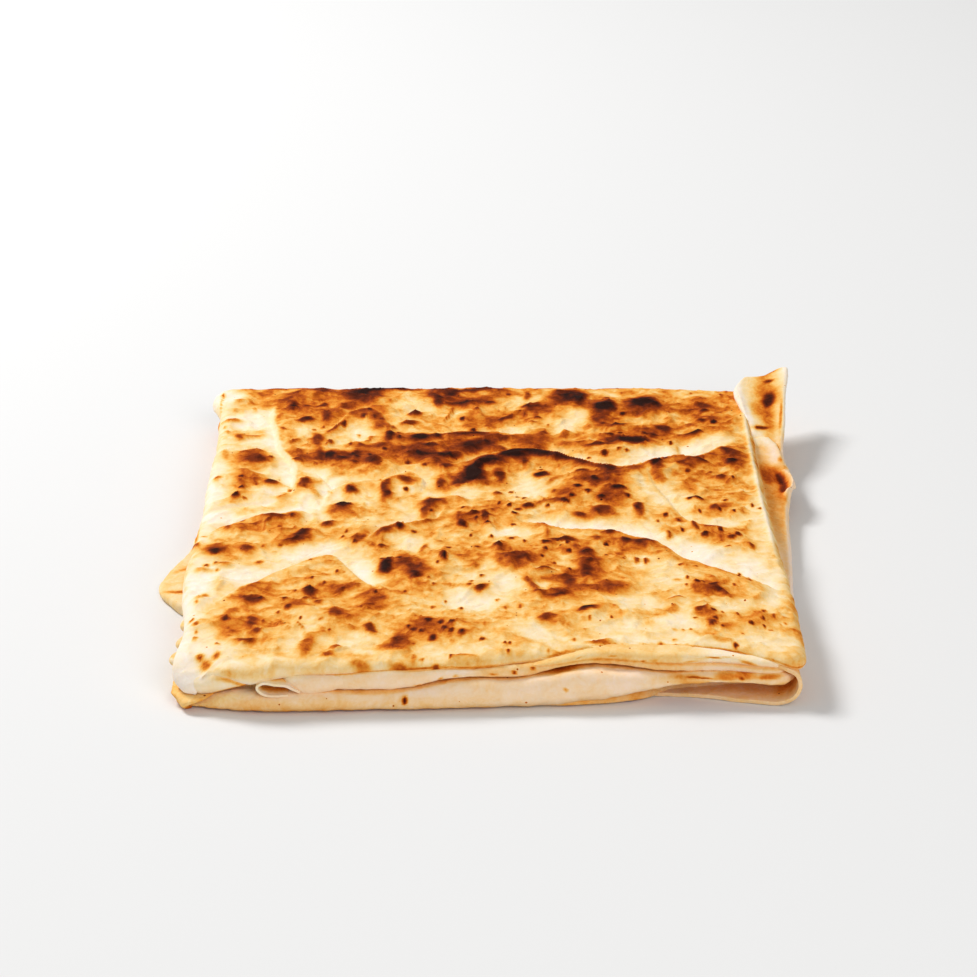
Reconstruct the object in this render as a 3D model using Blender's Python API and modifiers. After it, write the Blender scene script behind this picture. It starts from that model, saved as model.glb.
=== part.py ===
"""Gozleme: a thin sheet of hand-rolled dough, folded round its filling into a flat
rectangular parcel and browned on a griddle.

The parcel is one solid.  It is built as the cook folds it: leaves of dough laid on each
other, each a closed cushion with a rounded rim, then joined into one body.  Lengths are
in millimetres and become metres when a mesh is made.  +X is right, +Y is away from the
open front edge, +Z is up, and the parcel rests on its flat underside at Z = 0.
"""
import math

import bmesh
import bpy
import numpy as np

# ---------------------------------------------------------------- driving dimensions, mm
WIDTH = 174.0            # left fold to right fold
DEPTH = 204.0            # open front edge to back fold
HEIGHT = 15.3            # table to the top sheet
SHEET = 2.2              # a doubled sheet of dough where it stands free
RIM = 3.4                # how far in from its edge a fold is rounded
EAR_HEIGHT = 19.0        # table to the hollow of the raised back right corner
STRIP_REACH = 11.4       # how far the lower sheet shows past the right fold
TAB_REACH = 10.0         # how far the pointed tab shows past the left fold
POCKET_HEIGHT = 5.0      # table to the lip over the pocket
GROOVE = 3.6             # depth of the grooves between the layers

HALF_W = WIDTH / 2
HALF_D = DEPTH / 2
TOP_STEP = 2.3           # grid spacing on the top sheet before it is thinned
SIDE_STEP = 11.0         # grid spacing on the leaves that show only at their rims
RIM_ROWS = 3             # grid rows across a rounded rim
BASE_RIM = 7.0           # the base slopes further in, which makes the pocket under the lip
TOP_KEEP = 0.18          # share of the top sheet's triangles that is kept
BLISTERS = 60            # larger blisters in the crust
SEED = 11
WRAP_SIDE = 1.0          # the wrap's wall grows towards the inside of its curve
MM = 0.001
NODE = "gozleme"
CRUST = (0.80, 0.53, 0.24, 1.0)


# ---------------------------------------------------------------- curves and profiles
def spline(points):
    """A smooth curve through (position, value) points, level beyond its two ends."""
    at, value = np.array(points, float).T
    slope = np.gradient(value, at)
    slope[0] = slope[-1] = 0.0

    def curve(x):
        x = np.clip(x, at[0], at[-1])
        i = np.clip(np.searchsorted(at, x) - 1, 0, len(at) - 2)
        gap = at[i + 1] - at[i]
        t = (x - at[i]) / gap
        rise = t * t * (3 - 2 * t)
        bend = t * (1 - t) * gap * (slope[i] * (1 - t) - slope[i + 1] * t)
        return value[i] * (1 - rise) + value[i + 1] * rise + bend

    return curve


def level(value):
    """The same value everywhere."""
    return lambda *place: np.full_like(np.asarray(place[0], float), value)


def smooth(t):
    """0 below t = 0, 1 above t = 1, and an S-curve between."""
    t = np.clip(t, 0.0, 1.0)
    return t * t * (3 - 2 * t)


def fold_lines(span, step, rim):
    """Distances from one edge of a leaf to its grid lines, which crowd on both rounded rims."""
    rows = rim * (1 - np.cos(np.linspace(0, math.pi / 2, RIM_ROWS + 1)))
    inner = np.linspace(rim, span - rim, max(2, round((span - 2 * rim) / step)) + 1)
    return np.concatenate([rows[:-1], inner, span - rows[:-1][::-1]])


# ---------------------------------------------------------------- relief of the top sheet
class Crease:
    """A fold line across the top sheet, as points (x, y) from its one end to the other.

    On the right of the line, as it runs, the sheet drops by `drop` below a crest that
    stands `crest` high, and both ease back to level over `reach`.
    """

    def __init__(self, points, crest, drop, reach, soft=2.4):
        self.points = np.array(points, float)
        self.crest, self.drop, self.reach, self.soft = crest, drop, reach, soft

    def height(self, x, y):
        nearest = np.full(x.shape, np.inf)
        side = np.zeros(x.shape)
        along = np.zeros(x.shape)
        lengths = np.hypot(*np.diff(self.points, axis=0).T)
        start = 0.0
        for (ax, ay), (bx, by), length in zip(self.points[:-1], self.points[1:], lengths):
            ux, uy = (bx - ax) / length, (by - ay) / length
            run = np.clip((x - ax) * ux + (y - ay) * uy, 0, length)
            away = np.hypot(x - ax - run * ux, y - ay - run * uy)
            closer = away < nearest
            turn = np.sign((x - ax) * uy - (y - ay) * ux)
            nearest = np.where(closer, away, nearest)
            side = np.where(closer, turn, side)
            along = np.where(closer, start + run, along)
            start += length
        signed = nearest * side
        fade = smooth(along / 14) * smooth((start - along) / 14)
        low = smooth((signed + self.soft / 2) / self.soft)
        crest = self.crest * np.exp(np.minimum(signed, 0) / self.reach)
        valley = self.drop * np.exp(-np.maximum(signed, 0) / self.reach)
        return fade * ((1 - low) * crest - low * valley)


CREASES = [
    # the long arc across the back half, over a pale valley behind it
    Crease([(77, 53), (59, 44), (49, 39), (40, 33), (34, 35), (19, 46), (10, 47), (-4, 40), (-14, 36)],
           1.3, 1.8, 13.0),
    # the arc across the front half
    Crease([(83, -49), (70, -41), (59, -32), (47, -18), (34, -11), (15, -8), (-2, -9), (-18, -6),
            (-27, -9), (-38, -20)], 1.1, 1.4, 14.0),
    # the diagonal on the left of the front half
    Crease([(-38, -20), (-47, -27), (-60, -40), (-72, -54)], -0.5, 1.0, 9.0),
    # the short arcs on the left
    Crease([(-53, 1), (-68, -4), (-77, -7), (-82, -14)], 0.8, 1.1, 9.0),
    Crease([(-20, 31), (-29, 30), (-43, 24), (-51, 8)], 0.7, 0.9, 8.0),
    # the upright crease on the left of the back half
    Crease([(-70, 84), (-66, 53), (-60, 29), (-59, 12)], 0.8, 0.5, 6.0),
    # the fine crease on the right
    Crease([(76, -9), (61, -2), (53, 17), (50, 30)], 0.6, 0.5, 6.0),
]


def blisters():
    """Centre, radius and height of each blister: more and larger ones towards the back."""
    rng = np.random.default_rng(SEED)
    found = []
    for _ in range(BLISTERS):
        x = rng.uniform(-0.86, 0.86) * HALF_W
        y = (1 - 1.75 * rng.uniform(0, 1) ** 1.3) * HALF_D * 0.88
        radius = rng.uniform(3.5, 7.0)
        found.append((x, y, radius, radius * rng.uniform(0.14, 0.24)))
    return found


BUMPS = blisters()


def top_relief(x, y):
    """How far the top sheet stands above or below level at (x, y)."""
    rise = sum(crease.height(x, y) for crease in CREASES)
    for bx, by, radius, high in BUMPS:
        rise = rise + high * np.exp(-((x - bx) ** 2 + (y - by) ** 2) / (0.5 * radius ** 2))
    waves = 0.35 * np.sin(x / 11.0 + 1.3 * np.sin(y / 17.0)) * np.cos(y / 13.0 + 0.4)
    return rise + waves


# ---------------------------------------------------------------- edges of the leaves
def wavy(base, size, length, phase):
    """An edge at `base` that wanders by `size` over waves of `length`."""
    return lambda s: base + size * (np.sin(2 * math.pi * s / length + phase)
                                    + 0.5 * np.sin(2 * math.pi * s / (0.43 * length) + 2 * phase))


BACK_EDGE = spline([(-HALF_W, HALF_D - 1.2), (-60, HALF_D - 0.2), (-20, HALF_D + 0.8),
                    (20, HALF_D + 2), (60, HALF_D + 2.4), (HALF_W, HALF_D + 0.3)])
LEFT_EDGE = spline([(-HALF_D, -HALF_W - 0.6), (-80, -HALF_W - 1.4), (-40, -HALF_W), (0, -HALF_W + 0.2),
                    (50, -HALF_W - 0.2), (80, -HALF_W - 1.2), (HALF_D, -HALF_W - 2.2)])
RIGHT_EDGE = spline([(-HALF_D, HALF_W + 1), (-85, HALF_W + 2), (-70, HALF_W + 1.6),
                     (-45, HALF_W + 0.9), (-15, HALF_W - 0.8), (25, HALF_W - 2), (HALF_D, HALF_W - 2.4)])

# the front edge of each layer, and the heights where the layers part, against x
TOP_FRONT = spline([(-87, -100), (-76, -102), (-65, -103.6), (-55, -102), (-30, -100), (-8, -98),
                    (8, -95), (20, -92.5), (33, -89), (45, -91), (62, -89), (72, -91), (86, -95)])
TOP_SEAM = spline([(-87, 9.2), (-65, 8.3), (-55, 10.0), (-35, 10.8), (0, 11.4), (30, 12.3),
                   (68, 12.3), (80, 11.0), (88, 9.4)])
MIDDLE_FRONT = spline([(-62, -95), (-52, -100.5), (-38, -102), (-13, -100), (5, -98), (20, -95.5),
                       (32, -93), (48, -94.8), (65, -93.5), (80, -94.5), (88, -92)])
SLIT = spline([(-60, 5.6), (-45, 6.2), (-25, 7.0), (-13, 8.0), (2, 9.2), (16, 9.9), (30, 10.8),
               (40, 10.3), (50, 9.4), (88, 9.0)])
BOTTOM_FRONT = spline([(-85, -100.5), (-72, -103.6), (-25, -103.2), (0, -102), (20, -100.4),
                       (35, -99.2), (50, -97), (70, -95.6), (87, -95.8)])
BOTTOM_TOP = spline([(-85, 3.4), (-72, 5.4), (-45, 6.6), (-25, 7.3), (2, 8.8), (16, 9.2),
                     (35, 9.1), (50, 9.2), (88, 9.2)])
BOTTOM_FLOOR = spline([(10, 0.3), (26, 1.0), (36, 2.4), (46, 4.2), (55, POCKET_HEIGHT),
                       (78, POCKET_HEIGHT), (83, POCKET_HEIGHT - 0.6), (87, POCKET_HEIGHT)])
BASE_FRONT = spline([(-86, -97), (-60, -99.5), (15, -99), (32, -97.6), (42, -95.2), (50, -92.6),
                     (60, -94.6), (70, -96.6), (80, -97), (84, -94), (87, -90)])


def inset(edge, depth):
    """The same edge, moved inwards by `depth`; a negative depth moves it the other way."""
    return lambda s: edge(s) + depth


# ---------------------------------------------------------------- making a leaf
def leaf(name, left, right, front, back, floor, top, step, corner=6.0, rim=RIM, seam=0.5):
    """A layer of dough as a closed cushion, from two grid primitives joined at the rim.

    `left` and `right` give x against y, and `front` and `back` give y against x.  The
    upper face lies at `top` and the lower one at `floor`.  Within `rim` of the edge both
    close, as a quarter circle does, on the height that is `seam` of the way up.
    """
    mid_y = (front(np.zeros(1)) + back(np.zeros(1))) / 2
    mid_x = (left(mid_y) + right(mid_y)) / 2
    span_x = (right(mid_y) - left(mid_y))[0]
    span_y = (back(mid_x) - front(mid_x))[0]
    rim = min(rim, span_x / 2.5, span_y / 2.5)
    across, along = fold_lines(span_x, step, rim), fold_lines(span_y, step, rim)

    u, v = np.meshgrid(across / span_x, along / span_y)
    y = front(mid_x) + span_y * v
    x = left(y) + (right(y) - left(y)) * u
    y = front(x) + (back(x) - front(x)) * v
    in_x, in_y = np.minimum(u, 1 - u) * span_x, np.minimum(v, 1 - v) * span_y
    # within `corner` of both edges the square grid is bent onto a quarter disc
    a, b = np.clip(1 - in_x / corner, 0, 1), np.clip(1 - in_y / corner, 0, 1)
    pull_x = corner * a * (1 - np.sqrt(1 - b * b / 2))
    pull_y = corner * b * (1 - np.sqrt(1 - a * a / 2))
    x, y = x + np.where(u < 0.5, pull_x, -pull_x), y + np.where(v < 0.5, pull_y, -pull_y)
    to_x, to_y = corner - in_x - pull_x, corner - in_y - pull_y
    inwards = np.where((a > 0) & (b > 0), corner - np.hypot(to_x, to_y), np.minimum(in_x, in_y))
    inwards = np.where(np.minimum(in_x, in_y) > 1e-6, inwards, 0)
    roundness = np.sqrt(1 - (1 - np.clip(inwards / rim, 0, 1)) ** 2)
    low, high = floor(x, y), top(x, y)
    middle = low + (high - low) * seam

    mesh = bmesh.new()
    for surface in (high, low):
        grid = bmesh.ops.create_grid(mesh, x_segments=len(across) - 1,
                                     y_segments=len(along) - 1, size=1.0)
        verts = grid["verts"]
        z = middle + (surface - middle) * roundness
        for vert, place in zip(verts, np.stack([x.ravel(), y.ravel(), z.ravel()], 1)):
            vert.co = place * MM
        for tip in [vert for vert in verts if len(vert.link_faces) == 1]:
            quad = tip.link_faces[0]
            beside = {edge.other_vert(tip) for edge in tip.link_edges}
            opposite = (set(quad.verts) - beside - {tip}).pop()
            bmesh.utils.face_split(quad, tip, opposite)
        if surface is low:
            turned = {face for vert in verts for face in vert.link_faces}
            bmesh.ops.reverse_faces(mesh, faces=list(turned))
    bmesh.ops.remove_doubles(mesh, verts=mesh.verts, dist=1e-6)
    bmesh.ops.triangulate(mesh, faces=mesh.faces)
    data = bpy.data.meshes.new(name)
    mesh.to_mesh(data)
    mesh.free()
    thing = bpy.data.objects.new(name, data)
    FOLDS.objects.link(thing)
    return thing


def flat(curve):
    """A height that depends on x alone, as a function of the place."""
    return lambda x, y: curve(x)


# ---------------------------------------------------------------- the leaves
def top_sheet():
    """The browned top sheet, which rounds over every edge of the parcel."""
    def floor(x, y):
        at_front = smooth((-HALF_D + 30 - y) / 20)
        return TOP_SEAM(x) * at_front + 8.6 * (1 - at_front)

    thing = leaf("top_sheet", LEFT_EDGE, RIGHT_EDGE, TOP_FRONT, BACK_EDGE, floor,
                 lambda x, y: HEIGHT - 0.6 * smooth((-70 - y) / 30) + top_relief(x, y), TOP_STEP)
    thin = thing.modifiers.new("thin", "DECIMATE")
    thin.ratio = TOP_KEEP
    return thing


def core():
    """The filled middle, whose sides close the grooves between the leaves."""
    leaf("core", inset(LEFT_EDGE, GROOVE), inset(RIGHT_EDGE, -GROOVE), inset(TOP_FRONT, GROOVE + 1.5),
         inset(BACK_EDGE, -GROOVE - 2), level(1.0), level(HEIGHT - 2.2), SIDE_STEP)


def lower_leaves():
    """The three layers that show below the top sheet, and the sheet it all rests on."""
    def bottom_top(x, y):
        behind = smooth((y + 90) / 12)
        return BOTTOM_TOP(x) * (1 - behind) + 6.6 * behind

    def middle_floor(x, y):
        behind = smooth((y + 88) / 12)
        return SLIT(x) * (1 - behind) + 5.6 * behind

    leaf("middle_fold", inset(wavy(-HALF_W, 0.5, 90, 1.0), 1.5), inset(RIGHT_EDGE, -1.5),
         MIDDLE_FRONT, inset(BACK_EDGE, -2.5), middle_floor, flat(inset(TOP_SEAM, 0.9)), SIDE_STEP)
    leaf("bottom_fold", inset(LEFT_EDGE, 1.5), inset(wavy(HALF_W, 0.5, 80, 0.3), -1.0),
         BOTTOM_FRONT, inset(BACK_EDGE, -1.0), flat(BOTTOM_FLOOR), bottom_top, SIDE_STEP,
         seam=0.3)
    leaf("base", inset(wavy(-HALF_W, 0.5, 110, 2.0), 1.0), inset(wavy(HALF_W, 0.5, 100, 0.8), -1.0),
         BASE_FRONT, inset(BACK_EDGE, -3.0), level(0.0), level(5.8), SIDE_STEP,
         rim=BASE_RIM, seam=0.15)


def left_corner():
    """The wall and the tucked triangle of the left corner, and the curled end beside them."""
    wall_floor = spline([(-88, 4.4), (-76, 4.8), (-68, 7.2), (-62, 8.4)])
    leaf("corner_wall", inset(LEFT_EDGE, -0.3), level(-60.0),
         spline([(-88, -100), (-80, -103), (-70, -103.2), (-60, -100.5)]), level(-70.0),
         flat(wall_floor), level(10.6), 4.0)
    tuck_floor = spline([(-87, 2.0), (-83, 0.15), (-78, 2.4), (-70, 5.6), (-62, 8.0)])
    leaf("corner_tuck", level(-87.0), level(-62.0),
         spline([(-87, -100), (-83, -103.4), (-70, -103.4), (-62, -101)]), level(-86.0),
         flat(tuck_floor), flat(inset(wall_floor, 0.8)), 4.0)
    curl_floor = spline([(-64, 7.4), (-59, 4.3), (-51, 4.6), (-46, 6.4)])
    leaf("curled_end", level(-64.0), level(-46.0),
         spline([(-64, -100.5), (-58, -104), (-51, -103.8), (-46, -101)]), level(-92.0),
         flat(curl_floor), level(9.3), 3.0, 2.5, rim=2.0)


def right_wrap():
    """The sheet that wraps up round the right corner as a C, and fades into the side behind."""
    half_w, half_h, front, back = 6.4, 4.3, -96.4, -56.0
    centre_x, centre_z = HALF_W - 4.6, half_h + 0.4
    mesh = bmesh.new()
    grid = bmesh.ops.create_grid(mesh, x_segments=12, y_segments=8, size=0.5)
    for vert in grid["verts"]:
        angle = math.radians(-98 + 176 * (vert.co.x + 0.5))
        behind = vert.co.y + 0.5
        bulge = 1.2 * math.cos(angle / 2) ** 2
        vert.co = ((centre_x + half_w * (1 - 0.5 * behind) * math.cos(angle)) * MM,
                   (front + bulge + (back - front) * behind) * MM,
                   (centre_z + half_h * (1 - 0.2 * behind) * math.sin(angle)) * MM)
    data = bpy.data.meshes.new("right_wrap")
    mesh.to_mesh(data)
    mesh.free()
    thing = bpy.data.objects.new("right_wrap", data)
    FOLDS.objects.link(thing)
    wall = thing.modifiers.new("wall", "SOLIDIFY")
    wall.thickness = SHEET * 0.75 * MM
    wall.offset = WRAP_SIDE
    edge = thing.modifiers.new("edge", "BEVEL")
    edge.width = 0.5 * MM
    edge.segments = 1


def side_strip():
    """The lower sheet along the right fold, which rises into an ear at the back corner."""
    inner = spline([(-50, HALF_W - 9), (20, HALF_W - 9), (60, HALF_W - 6.5), (80, HALF_W - 6),
                    (98, HALF_W - 6), (108, HALF_W - 2.5)])
    outer = spline([(-50, HALF_W + 1.2), (-42, HALF_W + 2.0), (0, HALF_W + 4.8), (24, HALF_W + 6.2),
                    (30, HALF_W + 7.2), (36, HALF_W + 9.2), (47, HALF_W + 8.2), (60, HALF_W + 6.9),
                    (68, HALF_W + 7.9), (84, HALF_W + STRIP_REACH - 2.0),
                    (104, HALF_W + STRIP_REACH), (110, HALF_W + STRIP_REACH - 0.4)])
    ridge_line = spline([(-40, HALF_W + 1), (-20, HALF_W + 1.4), (10, HALF_W + 0.4), (60, HALF_W - 0.8)])
    lift = spline([(-50, 8.2), (30, 9.0), (55, 10.5), (78, 14.5), (95, 17.4),
                   (108, EAR_HEIGHT)])
    tail = spline([(HALF_W - 8, HALF_D - 2), (HALF_W, HALF_D + 2.5), (HALF_W + 11, HALF_D + 8)])

    def surface(x, y):
        across = (x - inner(y)) / (outer(y) - inner(y))
        rear = smooth((y - 50) / 45)
        rims = 1.6 * (2 * across - 1) ** 2 * rear
        ridge = 1.1 * np.exp(-((x - ridge_line(y)) / 1.5) ** 2) * (1 - rear)
        return lift(y) - 1.8 * across * (1 - rear) + rims + ridge

    leaf("side_strip", inner, outer, level(-50.0), tail,
         lambda x, y: surface(x, y) - SHEET * 1.25 - 3.0 * smooth((40 - y) / 30), surface, 3.0, 2.5)
    leaf("strip_stand", level(HALF_W - 12), lambda y: np.minimum(outer(y), HALF_W + 5) - 2.0,
         level(-48.0), level(97.0), level(1.2), lambda x, y: lift(y) - 1.6, 6.0, 3.0)


def left_tab():
    """The point of the lowest sheet, which shows past the left fold."""
    point = spline([(-48, -HALF_W + 1), (-40, -HALF_W - 4), (-28, -HALF_W - TAB_REACH),
                    (-17, -HALF_W - TAB_REACH + 2), (-6, -HALF_W - 3.6), (6, -HALF_W)])
    leaf("left_tab", point, level(-HALF_W + 12), level(-49.0), level(7.0),
         level(0.15), lambda x, y: SHEET + 1.4 * smooth((x + HALF_W + TAB_REACH) / TAB_REACH),
         3.2, 2.0)


# ---------------------------------------------------------------- one solid
def join():
    """Joins every leaf into one closed body and drops the leaves."""
    whole = FOLDS.objects["top_sheet"]
    FOLDS.objects.unlink(whole)
    PART.objects.link(whole)
    whole.name = whole.data.name = NODE
    union = whole.modifiers.new("union", "BOOLEAN")
    union.operation = "UNION"
    union.operand_type = "COLLECTION"
    union.collection = FOLDS
    union.solver = "EXACT"
    bpy.context.view_layer.update()
    graph = bpy.context.evaluated_depsgraph_get()
    joined = bpy.data.meshes.new_from_object(whole.evaluated_get(graph))
    whole.modifiers.clear()
    whole.data = joined
    for thing in list(FOLDS.objects):
        bpy.data.objects.remove(thing)
    bpy.data.collections.remove(FOLDS)
    return whole


def finish(whole):
    """Cleans the joined mesh, stands it on the origin and gives it its crust."""
    mesh = bmesh.new()
    mesh.from_mesh(whole.data)
    bmesh.ops.triangulate(mesh, faces=mesh.faces)
    places = np.array([vert.co for vert in mesh.verts])
    low, high = places.min(0), places.max(0)
    bmesh.ops.translate(mesh, verts=mesh.verts,
                        vec=(-(low[0] + high[0]) / 2, -(low[1] + high[1]) / 2, -low[2]))
    mesh.to_mesh(whole.data)
    mesh.free()
    whole.data.shade_smooth()
    whole.data.set_sharp_from_angle(angle=math.radians(40))

    crust = bpy.data.materials.new("griddled_dough")
    crust.use_nodes = True
    shader = crust.node_tree.nodes["Principled BSDF"]
    shader.inputs["Base Color"].default_value = CRUST
    shader.inputs["Roughness"].default_value = 0.6
    shader.inputs["Metallic"].default_value = 0.0
    whole.data.materials.clear()
    whole.data.materials.append(crust)
    print("triangles", len(whole.data.polygons), "size mm", np.round((high - low) / MM, 1),
          "centre mm", np.round((high + low) / 2 / MM, 2))


for old in list(bpy.data.objects):
    bpy.data.objects.remove(old)
PART = bpy.data.collections.new("gozleme")
FOLDS = bpy.data.collections.new("folds")
for group in (PART, FOLDS):
    bpy.context.scene.collection.children.link(group)

top_sheet()
core()
lower_leaves()
left_corner()
right_wrap()
side_strip()
left_tab()
finish(join())
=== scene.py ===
# %% [markdown]
# # A gozleme, folded and griddled
# A gozleme is a sheet of thin hand-rolled dough, folded round a thin filling into a flat
# parcel and browned on a hot griddle.  Here it is dressed over its solid model: every leaf
# of dough becomes a fine surface worked out with numpy, and the browning is a number kept
# at each point, so that the scorches sit where the dough stands up and touched the iron.
# Lengths are in millimetres until a mesh is made.

# %% Open the frame
import math

import bpy
import numpy as np
from mathutils import Matrix, Vector


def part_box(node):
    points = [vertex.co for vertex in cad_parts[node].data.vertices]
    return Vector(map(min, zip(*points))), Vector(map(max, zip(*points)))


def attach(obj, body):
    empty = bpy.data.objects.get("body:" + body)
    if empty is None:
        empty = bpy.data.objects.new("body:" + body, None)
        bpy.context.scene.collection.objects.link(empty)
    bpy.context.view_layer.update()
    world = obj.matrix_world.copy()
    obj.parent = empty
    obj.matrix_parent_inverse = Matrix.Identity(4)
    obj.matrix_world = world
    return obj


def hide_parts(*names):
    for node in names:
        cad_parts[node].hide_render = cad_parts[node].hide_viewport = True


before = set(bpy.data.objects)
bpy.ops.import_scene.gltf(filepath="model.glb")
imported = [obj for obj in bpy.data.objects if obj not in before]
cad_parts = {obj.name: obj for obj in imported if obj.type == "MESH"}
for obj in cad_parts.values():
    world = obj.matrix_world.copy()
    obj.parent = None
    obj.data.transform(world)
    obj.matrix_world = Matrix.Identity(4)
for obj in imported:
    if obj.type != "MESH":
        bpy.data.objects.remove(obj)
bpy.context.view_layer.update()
MM = 0.001
LOW, HIGH = (np.array(corner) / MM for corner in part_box("gozleme"))
print("solid model, mm:", np.round(HIGH - LOW, 1))

# %% [markdown]
# ## Small tools
# A smooth step, a bump, a curve through named points and a lattice noise are all the
# mathematics that the dough needs.  The curve gives an edge of a leaf, such as how far its
# front edge comes forward at each place along it.  The noise makes those edges a little
# uneven, as hand-rolled dough is.  A library's noise would do as well, but these few lines
# show how it works.

# %% Smooth step, bump and curve
def smooth(t):
    """0 below t = 0, 1 above t = 1, and 3t^2 - 2t^3 between."""
    t = np.clip(t, 0.0, 1.0)
    return t * t * (3 - 2 * t)


def bump(t):
    """1 at t = 0, falling to both sides as e^(-t^2)."""
    return np.exp(-t ** 2)


def blend(start, end, share):
    """`start` where `share` is 0, `end` where it is 1, and a mixture between."""
    return start * (1 - share) + end * share


def spline(*points):
    """A cubic curve through (position, value) points: level beyond its ends, and at each
    point as steep as the line between that point's two neighbours."""
    at, value = np.array(points, float).T
    slope = np.gradient(value, at)
    slope[0] = slope[-1] = 0.0

    def curve(x):
        x = np.clip(x, at[0], at[-1])
        i = np.clip(np.searchsorted(at, x) - 1, 0, len(at) - 2)
        gap = at[i + 1] - at[i]
        t = (x - at[i]) / gap
        bend = t * (1 - t) * gap * (slope[i] * (1 - t) - slope[i + 1] * t)
        return blend(value[i], value[i + 1], smooth(t)) + bend

    return curve


def level(value):
    """The same value everywhere."""
    return lambda *place: np.full_like(np.asarray(place[0], float), value)


def moved(curve, amount):
    """The same curve with `amount` added to it."""
    return lambda s: curve(s) + amount


print("a curve through (0, 0), (1, 2) and (3, 1), at 2:",
      spline((0, 0), (1, 2), (3, 1))(2.0).round(2))

# %% Noise
def noise(x, y, size, seed):
    """Random values from -1 to 1 on a square lattice `size` apart, blended between the
    four lattice points round each place with the smooth step."""
    table = np.random.default_rng(seed).uniform(-1, 1, (256, 256))
    gx, gy = np.asarray(x, float) / size, np.asarray(y, float) / size
    ix, iy = np.floor(gx).astype(int), np.floor(gy).astype(int)
    tx, ty = smooth(gx - ix), smooth(gy - iy)

    def at(i, j):
        return table[(ix + i) % 256, (iy + j) % 256]

    return blend(blend(at(0, 0), at(1, 0), tx), blend(at(0, 1), at(1, 1), tx), ty)


def rough(x, y, size, seed):
    """Three noises added up, each half as large in scale and in height as the one before."""
    return sum(noise(x, y, size / 2 ** k, seed + k) / 2 ** k for k in range(3)) / 1.75


def warped(x, y, amount, size, seed, by=rough):
    """x and y, each moved by `amount` times a noise of its own, which bends neat shapes."""
    return x + amount * by(x, y, size, seed), y + amount * by(x, y, size, seed + 2)


print("noise at (0, 0), (5, 1) and (9, 2):",
      np.round(rough(np.array([0, 5, 9]), np.array([0, 1, 2]), 4.0, 1), 2))

# %% [markdown]
# ## The plan of the parcel
# The sheet is folded in three both ways, so the parcel is nearly a rectangle.  Its edges
# were never cut straight: each one is a curve.  The left and right edges give x against y,
# and the front and back ones give y against x.  The layers part at the open front edge,
# so the height of each parting is a curve as well.

# %% Edges and partings
WIDTH, DEPTH, HEIGHT = 174.0, 204.0, 15.3
HALF_W, HALF_D = WIDTH / 2, DEPTH / 2
TOP_LEVEL = HEIGHT - 0.9     # the top between its creases
STRIP_REACH, TAB_REACH, EAR_HEIGHT, POCKET_HEIGHT = 11.4, 10.0, 19.0, 5.8
RIM = 3.4          # how far in from its edge a fold is rounded
GROOVE = 3.6       # depth of the grooves between the layers
SHEET = 2.2        # a doubled sheet of dough where it stands free
# heights, behind the open front, of the top sheet's underside, the thin leaves' upper side,
# the bottom fold's upper side and the middle fold's underside
TOP_BEHIND, THIN_BEHIND, BOTTOM_BEHIND, MIDDLE_BEHIND = 8.6, 9.0, 6.6, 5.6

BACK_EDGE = spline((-HALF_W, HALF_D - 1.2), (-60, HALF_D - 0.2), (-20, HALF_D + 0.8),
                   (20, HALF_D + 2), (60, HALF_D + 2.4), (HALF_W, HALF_D + 0.3))
LEFT_EDGE = spline((-HALF_D, -HALF_W), (-92, -HALF_W + 0.5), (-85, -HALF_W + 1.2),
                   (-72, -HALF_W + 1.6), (-64, -HALF_W + 1.2), (-56, -HALF_W - 0.3),
                   (-44, -HALF_W - 1.0), (-26, -HALF_W - 0.6), (-8, -HALF_W + 0.1),
                   (36, -HALF_W + 0.6), (56, -HALF_W + 0.9), (76, -HALF_W + 0.4),
                   (85, -HALF_W + 0.1), (90, -HALF_W - 1.4), (95, -HALF_W - 2.9),
                   (99, -HALF_W - 2.6), (HALF_D, -HALF_W - 1.8))
RIGHT_EDGE = spline((-HALF_D, HALF_W + 1), (-85, HALF_W + 2), (-70, HALF_W + 1.6),
                    (-45, HALF_W + 0.9), (-15, HALF_W - 0.8), (25, HALF_W - 2),
                    (HALF_D, HALF_W - 2.4))
TOP_FRONT = spline((-87, -99.8), (-82, -101.3), (-79.5, -101.7), (-77.3, -101.0),
                   (-72, -102.4), (-65, -103.6),
                   (-55, -102), (-30, -100), (-8, -98), (8, -95), (20, -92.5), (33, -89),
                   (45, -91), (62, -89), (72, -91), (86, -95))
TOP_SEAM = spline((-87, 11.0), (-80, 10.9), (-77.5, 10.4), (-71.7, 9.8), (-65.5, 8.3),
                  (-61.5, 8.8), (-54, 9.8), (-40, 10.0), (-33, 10.4), (-20, 10.6),
                  (-11, 10.8), (-4.5, 10.2), (6, 10.5), (11, 10.7), (16, 11.4), (21, 12.1),
                  (68, 12.3), (80, 11.0), (88, 9.4))
MIDDLE_FRONT = spline((-62, -95), (-52, -100.5), (-38, -102), (-13, -100), (5, -98),
                      (20, -95.5), (32, -93), (48, -94.8), (65, -93.5), (80, -94.5), (88, -92))
SLIT = spline((-60, 5.2), (-45, 6.0), (-38, 6.3), (-27, 6.2), (-19, 6.8), (-13, 8.2),
              (-7, 9.0), (-1, 9.1), (6, 8.4), (11, 8.5), (16, 9.5), (21.5, 10.8),
              (28, 11.0), (34, 10.2), (41, 10.0), (50, 9.2), (88, 8.8))
BOTTOM_FRONT = spline((-85, -100.5), (-72, -103.6), (-25, -103.2), (0, -102), (20, -100.4),
                      (35, -99.2), (50, -97.4), (70, -96.8), (80, -96.4), (87, -94))
BOTTOM_TOP = spline((-85, 1.4), (-79, 3.0), (-75, 4.2), (-71, 5.3), (-60, 5.6), (-45, 6.0),
                    (-27, 6.0), (-19, 6.5), (-13, 7.7), (-6, 8.6), (0, 8.5), (8, 8.1),
                    (16, 9.0), (22, 9.9), (28, 10.1), (35, 9.6), (50, 9.2), (88, 9.2))
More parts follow.
